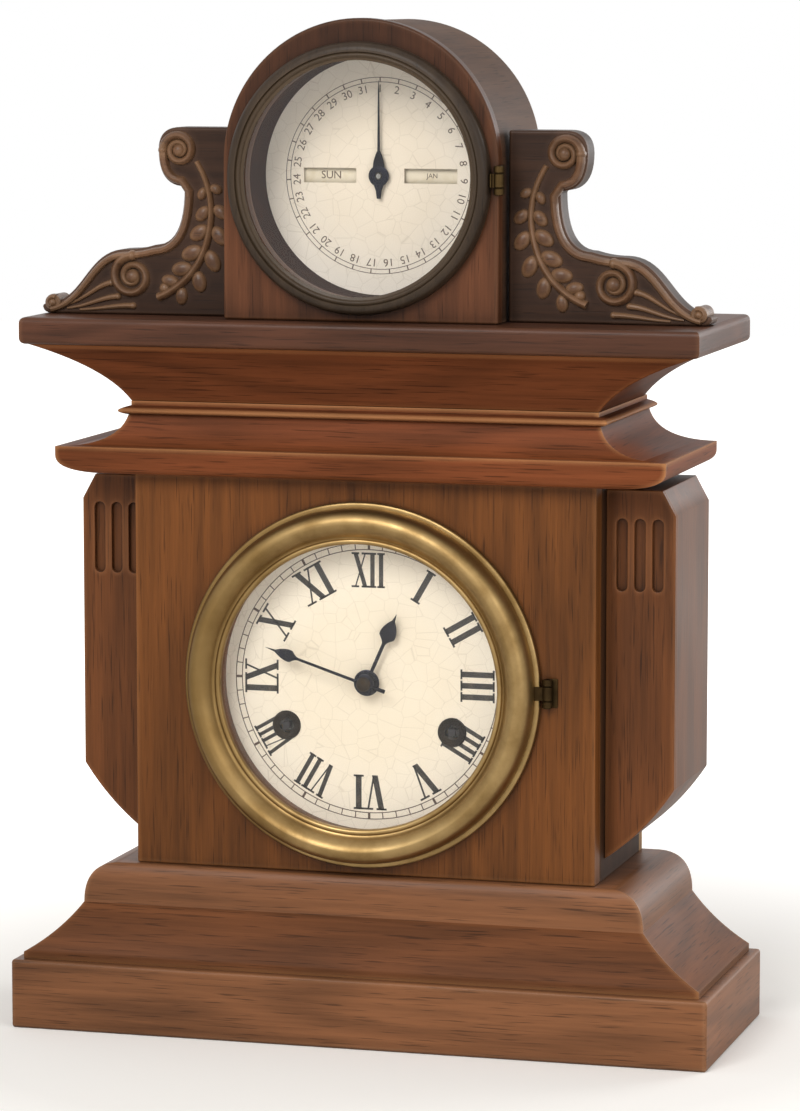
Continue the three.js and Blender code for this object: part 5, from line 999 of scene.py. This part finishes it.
def movement_plate(front, back, *more_holes):
    """A sheet brass plate with round corners and the arbors' pivot holes."""
    side, reach, corner = PLATE_SIDE, PLATE_REACH, PLATE_CORNER
    outline = []
    for x, z, start in ((1, -1, -90), (1, 1, 0), (-1, 1, 90), (-1, -1, 180)):
        outline += arc(x * (side - corner), DIAL_AT + z * (reach - corner), corner, start, start + 90, 6)
    holes = [pivot_hole(*arbor) for arbor in ARBORS.items()]
    return board(front, back, outline, *more_holes, *holes, ease=0.15, segments=1)


def pillar(x, z, front, back):
    """A turned pillar with a collar at each end."""
    wide, slim = PILLAR_RADIUS, PILLAR_RADIUS * 0.7
    profile = [(0, front), (wide, front), (wide, front + 2), (slim, front + 3.2), (slim, back - 3.2),
               (wide, back - 2), (wide, back), (0, back)]
    return turned(profile, (x, 0, DIAL_AT + z), steps=24)


bm = movement_plate(PLATE_FRONT, PLATE_INNER, pivot_hole("minute_wheel_body", STOUT))
for x in (-POSTS[0], POSTS[0]):
    for z in (-POSTS[1], POSTS[1]):
        join(bm, pillar(x, z, POST_FRONT, PLATE_FRONT))
finish(bm, "front_plate_and_posts", "front_plate", [BRASS])
bm = movement_plate(REAR_PLATE, REAR_PLATE_BACK)
for _, side in SIDES:
    for x, z in PILLARS:
        join(bm, pillar(side * x, z, PLATE_INNER, REAR_PLATE))
        hexagon = disc(side * x, DIAL_AT + z, 3.4, 6)
        nut = board(REAR_PLATE_BACK, REAR_PLATE_BACK + 2, hexagon, ease=0.3, segments=1)
        join(bm, nut, material=1)
hammer_stud = ARBOR_AT["hammer"]
for profile in ([(0, 19), (1.5, 19), (1.5, 41), (1.2, 42), (0, 42)], [(1.5, 19), (3.4, 19.5), (3.2, 24), (1.5, 25)]):
    join(bm, turned(profile, (hammer_stud.x, 0, hammer_stud.z), steps=20))
# The cock that the pendulum hangs from
join(bm, block((-4, 4), (18, 32), (214, 221), 0.6))
finish(bm, "rear_plate_and_pillars", "back_plate", [BRASS, STEEL])

# Wheels: cut teeth, crossed out to spokes, on steel arbors with their pinions
WHEEL, PINION, SPOKE_HALF = 1.2, 3.4, 1.1
PINION_LEAD = (PINION - WHEEL) / 2
# Teeth and module of each wheel, and how far forward it sits
GREAT, SECOND, STRIKE, CENTRE_WHEEL, THIRD = (48, 1.1), (48, 0.75), (40, 0.7), (72, 0.48), (60, 0.5)
CANNON, MINUTE, MINUTE_PINION, HOUR = (10, 0.8), (30, 0.8), (10, 0.64), (40, 0.64)
GREAT_FRONT, ESCAPE_FRONT, CENTRE_FRONT, THIRD_FRONT, STRIKE_FRONT, SECOND_FRONT = -13.5, -5.5, 2.5, 7.5, 10.5, 13.8
MINUTE_FRONT, HOUR_FRONT = -21.2, -24.9
ESCAPE_TEETH, ESCAPE_ROOT, ESCAPE_TIP, CENTRE_TIP = 45, 10, 12, -40.9


def gear(teeth, module, phase=0):
    """A wheel's outline of pointed teeth, or a pinion's of flat-topped leaves."""
    pitch, root, tip = 2 * math.pi / teeth, module * (teeth / 2 - 1.15), module * (teeth / 2 + 0.85)
    crest = 0.02 if teeth > 12 else 0.1
    outline = []
    for i in range(teeth):
        for radius, aside in ((root, -0.29), (tip, -crest), (tip, crest), (root, 0.29)):
            angle = phase + (i + aside) * pitch
            outline.append((radius * math.cos(angle), radius * math.sin(angle)))
    return outline


def meshed(driver_teeth, driver_body, body, teeth):
    """The phase that puts a gear's gaps on the teeth of the gear that drives it."""
    run = ARBOR_AT[body] - ARBOR_AT[driver_body]
    direction = math.atan2(run.z, run.x)
    past = direction * driver_teeth / (2 * math.pi)
    return direction + math.pi - (0.5 - past) * 2 * math.pi / teeth


def crossings(spokes, inner, outer):
    """The openings between a wheel's spokes."""
    made = []
    for first in (360 * k / spokes for k in range(spokes)):
        last = first + 360 / spokes
        lean_out, lean_in = (math.degrees(math.asin(SPOKE_HALF / radius)) for radius in (outer, inner))
        made.append(arc(0, 0, outer, first + lean_out, last - lean_out, 12)
                    + arc(0, 0, inner, last - lean_in, first + lean_in, 6))
    return made


def cut_wheel(front, outline, rim, hub, spokes=4):
    """A thin brass wheel from its outline, with spokes between its hub and its rim."""
    return board(front, front + WHEEL, outline, *crossings(spokes, hub, rim), ease=0.1, segments=1)


def leaves(front, outline):
    """A steel pinion, opposite the wheel that sits this far forward."""
    return board(front - PINION_LEAD, front - PINION_LEAD + PINION, outline)


def driven(driver, driver_body, front, body, count):
    """The pinion on a body that another wheel drives."""
    teeth, module = driver
    return leaves(front, gear(count, module, meshed(teeth, driver_body, body, count)))


def shaft(radius, front=PLATE_FRONT, back=REAR_PLATE_BACK):
    """A steel arbor that is turned down to a pivot at each end."""
    pivot = radius * 0.75
    profile = [(0, front), (pivot, front), (pivot, front + 1.6), (radius, front + 2), (radius, back - 2),
               (pivot, back - 1.6), (pivot, back), (0, back)]
    return turned(profile, steps=20)


def set_arbor(bm, name, solid, body):
    """Puts a wheel work drawn round the origin on its arbor."""
    shift(bm, ARBOR_AT[body].x, ARBOR_AT[body].z)
    finish(bm, name, solid, [BRASS, STEEL, IRON])


def train_wheel(solid, wheel, radius, driver, driver_body, front, count):
    """A wheel of the train on its arbor, with the pinion that the wheel before it drives."""
    body = solid + "_body"
    join(wheel, driven(driver, driver_body, front, body, count), shaft(radius), material=1)
    set_arbor(wheel, solid + "_work", solid, body)


SPRING_FRONT, SPRING_WIDE, SPRING_IN, SPRING_OUT, SPRING_TURNS, SPRING_BAND = -12, 20, 5.3, 18.7, 13, 0.45
SQUARE = 1.6
for name in ("time", "strike"):
    body = name + "_great_wheel_body"
    bm = cut_wheel(GREAT_FRONT, gear(*GREAT), rim=21.5, hub=7.5, spokes=6)
    join(bm, turned([(0, GREAT_FRONT), (4.7, GREAT_FRONT), (4.7, 7.6), (4.3, 8), (0, 8)], steps=32))
    bar = turned([(0, -27), (2.5, -27), (2.9, -26), (2.9, 19), (2.5, 19.5), (0, 19.5)], steps=28)
    square = block((-SQUARE, SQUARE), (-31.1, -26.5), (-SQUARE, SQUARE))
    soften(square, 0.35)
    join(bm, bar, material=1)
    # The winding square takes the dark cast-iron finish as painted shade, standing for the shadow inside its winding
    # hole.
    join(bm, square, material=2)
    set_arbor(bm, name + "_great_wheel_work", name + "_great_wheel", body)
    # The mainspring: a long steel band wound round the hub
    bm = bmesh.new()
    coil = spiral((0, 0), SPRING_IN, SPRING_OUT, 0, SPRING_TURNS, 40 * SPRING_TURNS)
    verts = [bm.verts.new((x, SPRING_FRONT, z)) for x, z in coil]
    edges = [bm.edges.new(pair) for pair in zip(verts, verts[1:])]
    move_grown(bm, bmesh.ops.extrude_edge_only(bm, edges=edges), (0, SPRING_WIDE, 0))
    bmesh.ops.recalc_face_normals(bm, faces=bm.faces)
    bmesh.ops.solidify(bm, geom=bm.faces[:], thickness=SPRING_BAND)
    shift(bm, ARBOR_AT[body].x, ARBOR_AT[body].z)
    finish(bm, name + "_wound_spring", name + "_mainspring", [BLUED], crease=60)

wheel = cut_wheel(SECOND_FRONT, gear(*SECOND), rim=15, hub=4)
train_wheel("second_wheel", wheel, STOUT, GREAT, "time_great_wheel_body", GREAT_FRONT, count=8)
wheel = cut_wheel(STRIKE_FRONT, gear(*STRIKE), rim=11, hub=4)
train_wheel("strike_second_wheel", wheel, STOUT, GREAT, "strike_great_wheel_body", GREAT_FRONT, count=8)

bm = bmesh.new()
pinion = driven(STRIKE, "strike_second_wheel_body", STRIKE_FRONT, "strike_fly_body", count=8)
join(bm, pinion, shaft(STOUT), material=1)
join(bm, block((-12, 12), (THIRD_FRONT - 14.4, THIRD_FRONT - 0.4), (-0.35, 0.35), 0.15),
     turned([(1, -7), (1.9, -6.6), (1.9, 6.6), (1, 7)], steps=20))
set_arbor(bm, "strike_fly_vane", "strike_fly", "strike_fly_body")

bm = cut_wheel(CENTRE_FRONT, gear(*CENTRE_WHEEL), rim=14.5, hub=4)
join(bm, driven(SECOND, "second_wheel_body", SECOND_FRONT, "minute_work", count=8),
     leaves(MINUTE_FRONT, gear(*CANNON)), shaft(CENTRE, CENTRE_TIP), material=1)
set_arbor(bm, "centre_wheel_work", "centre_arbor", "minute_work")

phase = meshed(CANNON[0], "minute_work", "minute_wheel_body", MINUTE[0])
bm = cut_wheel(MINUTE_FRONT, gear(*MINUTE, phase), rim=9, hub=3.6)
join(bm, leaves(HOUR_FRONT, gear(*MINUTE_PINION)), shaft(STOUT, HOUR_FRONT - PINION_LEAD, PLATE_INNER), material=1)
set_arbor(bm, "minute_wheel_work", "minute_wheel", "minute_wheel_body")

phase = meshed(MINUTE_PINION[0], "minute_wheel_body", "hour_work", HOUR[0])
bm = board(HOUR_FRONT, HOUR_FRONT + WHEEL, gear(*HOUR, phase), disc(0, 0, 2.2, 32), ease=0.1, segments=1)
pipe = [(2.2, -34.7), (2.9, -34.7), (3.2, -34.2), (3.2, HOUR_FRONT), (2.2, HOUR_FRONT)]
join(bm, turned(pipe, steps=40))
set_arbor(bm, "hour_wheel_and_pipe", "hour_wheel", "hour_work")

wheel = cut_wheel(THIRD_FRONT, gear(*THIRD), rim=12.3, hub=3.4)
train_wheel("third_wheel", wheel, FINE, CENTRE_WHEEL, "minute_work", CENTRE_FRONT, count=6)
pitch = 2 * math.pi / ESCAPE_TEETH
ratchet = [(radius * math.cos(angle), radius * math.sin(angle)) for i in range(ESCAPE_TEETH)
           for radius, angle in ((ESCAPE_ROOT, i * pitch), (ESCAPE_TIP, (i + 0.75) * pitch))]
wheel = cut_wheel(ESCAPE_FRONT, ratchet, rim=8.4, hub=2.8)
train_wheel("escape_wheel", wheel, FINE, THIRD, "third_wheel_body", THIRD_FRONT, count=6)

# Verge: the anchor over the escape wheel, its arbor, and the crutch that pushes the pendulum
VERGE_RISE = ARBOR_AT["verge_body"].z
ANCHOR_FRONT, ANCHOR_BACK, CRUTCH_FRONT, CRUTCH_BACK, PRONG_BACK = -5.8, -4, 20, 21.5, 29.6
CRUTCH_DROP, CRUTCH_HALF, PRONG_IN, PRONG_OUT = 32, 1.5, 1.6, 3.2
PALLET_CLEARANCE, SWING = 0.3, 3
anchor_drop = VERGE_RISE - ARBOR_AT["escape_wheel_body"].z
pallet_swing = math.sqrt(anchor_drop ** 2 - ESCAPE_TIP ** 2) * math.sin(math.radians(SWING))
pallet_radius = ESCAPE_TIP + pallet_swing + PALLET_CLEARANCE
lean = math.asin(pallet_radius / anchor_drop)
reach = math.sqrt(anchor_drop ** 2 - pallet_radius ** 2)
crutch_foot = (-CRUTCH_DROP, 2 * CRUTCH_HALF - CRUTCH_DROP)
corners = [(0, 0), (reach, 0), (reach, 1.6), (reach * 0.6, 2.4), (0, 2.4)]
bm = bmesh.new()
for _, side in SIDES:
    along, out = (side * math.sin(lean), -math.cos(lean)), (side * math.cos(lean), math.sin(lean))
    arm = [(a * along[0] + b * out[0], a * along[1] + b * out[1]) for a, b in corners]
    join(bm, board(ANCHOR_FRONT, ANCHOR_BACK, arm, ease=0.2, segments=1),
         block(sorted((side * PRONG_IN, side * PRONG_OUT)), (CRUTCH_FRONT, PRONG_BACK), crutch_foot, 0.4))
hub = [(0, ANCHOR_FRONT - 0.6), (2.6, ANCHOR_FRONT - 0.6), (3.4, ANCHOR_FRONT), (3.4, ANCHOR_BACK),
       (2.6, ANCHOR_BACK + 0.6), (0, ANCHOR_BACK + 0.6)]
collet = rectangle(0, 2.2, CRUTCH_FRONT, CRUTCH_BACK)
join(bm, turned(hub, steps=32), turned(collet, steps=24), shaft(STOUT, PLATE_FRONT, CRUTCH_BACK),
     block((-CRUTCH_HALF, CRUTCH_HALF), (CRUTCH_FRONT, CRUTCH_BACK), (-CRUTCH_DROP, 0), 0.3),
     block((-PRONG_OUT, PRONG_OUT), (CRUTCH_FRONT, CRUTCH_BACK), crutch_foot, 0.3))
shift(bm, 0, VERGE_RISE)
finish(bm, "anchor_and_crutch", "verge", [STEEL])

# Pendulum: spring strip, rod threaded below, brass lens and its rating nut
PENDULUM_AT, ROD, ROD_FOOT, STRIP_FOOT, STRIP_HEAD, BOB_AT, BOB = 28, 1.2, 80.1, 205.7, 213.7, 101.6, 16
THREADS, THREAD_PITCH, THREAD_DEPTH = 14, 0.8, 0.22
NUT_FOOT, NUT_TALL, NUT_RADIUS, KNURLS, KNURL_DEPTH = 81.3, 4, 3.8, 48, 0.35
profile = [(0, ROD_FOOT), (0.9, ROD_FOOT)]
for crest in (ROD_FOOT + 0.5 + turn * THREAD_PITCH for turn in range(THREADS)):
    profile += [(ROD, crest), (ROD - THREAD_DEPTH, crest + 0.4)]
profile += [(ROD, ROD_FOOT + 12), (ROD, STRIP_FOOT - 1), (1.5, STRIP_FOOT - 0.6), (1.5, STRIP_FOOT + 1),
            (0, STRIP_FOOT + 1)]
bm = join(block((-0.25, 0.25), (PENDULUM_AT - 2, PENDULUM_AT + 2), (STRIP_FOOT, STRIP_HEAD), 0.1),
          turned(profile, (0, PENDULUM_AT, 0), ALONG_Z, 24))
finish(bm, "pendulum_rod_and_spring", "pendulum_rod", [STEEL])
half = bend([(0, 3.5)], (9, 3.5), (BOB - 0.5, 0.6), steps=12) + [(BOB, 0.3)]
socket = [(1.4, 13.5), (2.6, 13.5), (2.6, 16), (1.4, 16.4)]
bm = join(turned([(radius, -along) for radius, along in half] + half[::-1], (0, PENDULUM_AT, BOB_AT), steps=72),
          turned(socket, (0, PENDULUM_AT, BOB_AT), ALONG_Z, 20))
finish(bm, "brass_lens", "pendulum_bob", [BRASS])
bm = bmesh.new()
knurl = []
for i in range(KNURLS):
    angle, radius = 2 * math.pi * i / KNURLS, NUT_RADIUS - KNURL_DEPTH * (i % 2)
    knurl.append((radius * math.cos(angle), PENDULUM_AT + radius * math.sin(angle), NUT_FOOT))
thicken(bm, [flat(bm, knurl)], (0, 0, NUT_TALL))
soften(bm, 0.25, 1, 60)
finish(bm, "knurled_rating_nut", "rating_nut", [BRASS])

# Strike: a coiled gong wire on an iron block, and the hammer on its stud
GONG_HEIGHT, GONG_AT, GONG_WIRE, GONG_IN, GONG_OUT, GONG_TURNS = 112, 39, 1.3, 8, 32, 3
BLOCK_HALF, ARM_HALF, HAMMER_HALF, HAMMER_EASE = 7.3, 1.2, 1.5, 0.6
bm = bmesh.new()
coil = spiral((0, GONG_HEIGHT), GONG_IN, GONG_OUT, 0, GONG_TURNS, 50 * GONG_TURNS)
drawn_wire(bm, coil, GONG_WIRE, GONG_WIRE, Matrix.Translation((0, GONG_AT, 0)))
low, high = GONG_HEIGHT - BLOCK_HALF, GONG_HEIGHT + BLOCK_HALF
screw = [(0, 36.6), (1.6, 36.7), (2.6, 37.2), (2.8, 37.7), (0, 37.7)]
join(bm, block((-5, 5), (40.6, 45.6), (BASE_TOP, high), 0.8),
     block((-BLOCK_HALF, BLOCK_HALF), (37.7, 41.6), (low, high), 1), turned(screw, (0, 0, GONG_HEIGHT), steps=24))
finish(bm, "coiled_gong_and_block", "gong", [IRON])
head = Vector((14.7, 0, -39.4))
aside = Vector((-head.z, 0, head.x)).normalized()
corners = [aside * 1.8, aside * -1.8, head - aside * 1.2, head + aside * 1.2]
bm = board(GONG_AT - ARM_HALF, GONG_AT + ARM_HALF, [(corner.x, corner.z) for corner in corners], ease=0.5)
for centre, radius, bore in ((Vector((0, 0, 0)), 4, 1.7), (head, 5.5, 0)):
    profile = eased(bore, radius, -HAMMER_HALF, HAMMER_HALF, HAMMER_EASE)
    join(bm, turned(profile, centre + Vector((0, GONG_AT, 0)), steps=40))
shift(bm, hammer_stud.x, hammer_stud.z)
finish(bm, "hammer_arm_and_head", "strike_hammer", [STEEL])

# Calendar work: an iron frame that carries the rollers, the date wheel on its arbor, and the lift wire
FRAME_FRONT, FRAME_BACK, FRAME_HALF, FRAME_RISE, SHEET = 10, 11.5, 41.3, 16, 1.5
DATE_TEETH, DATE_ARBOR, DATE_ARBOR_ENDS = 31, 1.5, (-15.1, 15.2)
CHEEKS_AT, CHEEK_HALF, POST_AT, POST_RISE, POST_RADIUS = (6.2, 38.3), 6, 39.8, 13, 1.5
bm = board(FRAME_FRONT, FRAME_BACK, rectangle(-FRAME_HALF, FRAME_HALF, SLAB_TOP, CALENDAR_AT + FRAME_RISE),
           disc(0, CALENDAR_AT, 1.7, 24), ease=0.3, segments=1)
join(bm, block((-FRAME_HALF, FRAME_HALF), (FRAME_FRONT - 10, FRAME_BACK), (SLAB_TOP, SLAB_TOP + SHEET), 0.3))
post = rectangle(0, POST_RADIUS, CALENDAR_BACK, FRAME_FRONT)
for _, side in SIDES:
    for start in CHEEKS_AT:
        cheek = rectangle(*sorted((side * start, side * (start + SHEET))), CALENDAR_AT - CHEEK_HALF,
                          CALENDAR_AT + CHEEK_HALF)
        join(bm, board(ROLLER_AT - 3, FRAME_BACK, cheek, ease=0.3, segments=1))
    for rise in (-POST_RISE, POST_RISE):
        join(bm, turned(post, (side * POST_AT, 0, CALENDAR_AT + rise), steps=20))
finish(bm, "roller_frame", "calendar_frame", [IRON])
wheel = cut_wheel(FRAME_BACK + FIT, gear(DATE_TEETH, 1), rim=12, hub=4)
bm = join(wheel, shaft(DATE_ARBOR, *DATE_ARBOR_ENDS), material=1)
shift(bm, 0, CALENDAR_AT)
finish(bm, "date_wheel_and_arbor", "date_arbor", [BRASS, STEEL])
low, high = (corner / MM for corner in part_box("calendar_lift_wire"))
middle = (low + high) / 2
profile = [(0, low.z), (0.7, low.z), (1, low.z + 0.6), (1, high.z - 0.6), (0.7, high.z), (0, high.z)]
finish(turned(profile, (middle.x, middle.y, 0), ALONG_Z, 20), "lift_wire_rod", "calendar_lift_wire", [STEEL])

# The solids that stay get the finish of their slot
for name, slot in SLOTS.items():
    solid = frame["nodes"][name].data
    solid.materials.clear()
    solid.materials.append(FINISHES[slot])

scene = bpy.context.scene


def set_up(name, data, place, target):
    """Stands a camera or a lamp at a place, turned to a target."""
    made = bpy.data.objects.new(name, data)
    made.location = place
    made.rotation_euler = (Vector(target) - made.location).to_track_quat("-Z", "Y").to_euler()
    scene.collection.objects.link(made)
    return made


# Camera where the photograph was taken from
scene.camera = set_up("camera", bpy.data.cameras.new("camera"), (0.5618, -1.9460, 0.4645), (0.00561, 0, 0.2120))
scene.camera.data.lens = 148.47

# Soft studio light: a large key lamp above the front, weaker ones from the right and from behind
for name, place, size, power in (
    ("key_lamp", (-0.3, -1.9, 1.45), 1.0, 29.5),
    ("fill_lamp", (1.6, -1.2, 0.9), 1.2, 9),
    ("rear_lamp", (1.4, 1.8, 0.8), 1.2, 21),
):
    lamp = bpy.data.lights.new(name, "AREA")
    lamp.size, lamp.energy = size, power
    set_up(name, lamp, place, (0, 0, 0.2))

# White surroundings: full white where they are seen or mirrored, softer as light
world = bpy.data.worlds.new("white_room")
world.use_nodes = True
world.node_tree.nodes.clear()
scene.world = world
tree = world.node_tree
seen, mirrored, through = (
    node(tree, "LightPath", {}, f"Is {ray} Ray") for ray in ("Camera", "Glossy", "Transmission")
)
watched = reckon(tree, "MAXIMUM", reckon(tree, "MAXIMUM", seen, mirrored), through)
strength = ramp(tree, watched, 0, 1, 0.55, 1)
sky = node(tree, "Background", {"Color": linear("#ffffff"), "Strength": strength})
node(tree, "OutputWorld", {"Surface": sky})

# Pale floor that keeps the shadow
bm = bmesh.new()
bmesh.ops.create_grid(bm, x_segments=2, y_segments=2, size=4)
floor_mesh = bpy.data.meshes.new("floor")
bm.to_mesh(floor_mesh)
bm.free()
floor_paper, tree, place = new_material("white_paper")
matt = node(tree, "BsdfDiffuse", {"Color": linear("#f4f1ec")})
# The paper is lifted to the white of its surroundings with distance, so that no edge shows where it ends.
reach = node(tree, "VectorMath", {0: place}, "Value", operation="LENGTH")
seen = node(tree, "LightPath", {}, "Is Camera Ray")
strength = reckon(tree, "MULTIPLY", seen, ramp(tree, reach, 0.2, 0.65, 0.06, 0.85))
lift = node(tree, "Emission", {"Color": linear("#ffffff"), "Strength": strength})
node(tree, "OutputMaterial", {"Surface": node(tree, "AddShader", {0: matt, 1: lift})})
floor_mesh.materials.append(floor_paper)
floor = bpy.data.objects.new("floor", floor_mesh)
scene.collection.objects.link(floor)

scene.view_settings.view_transform = "Standard"
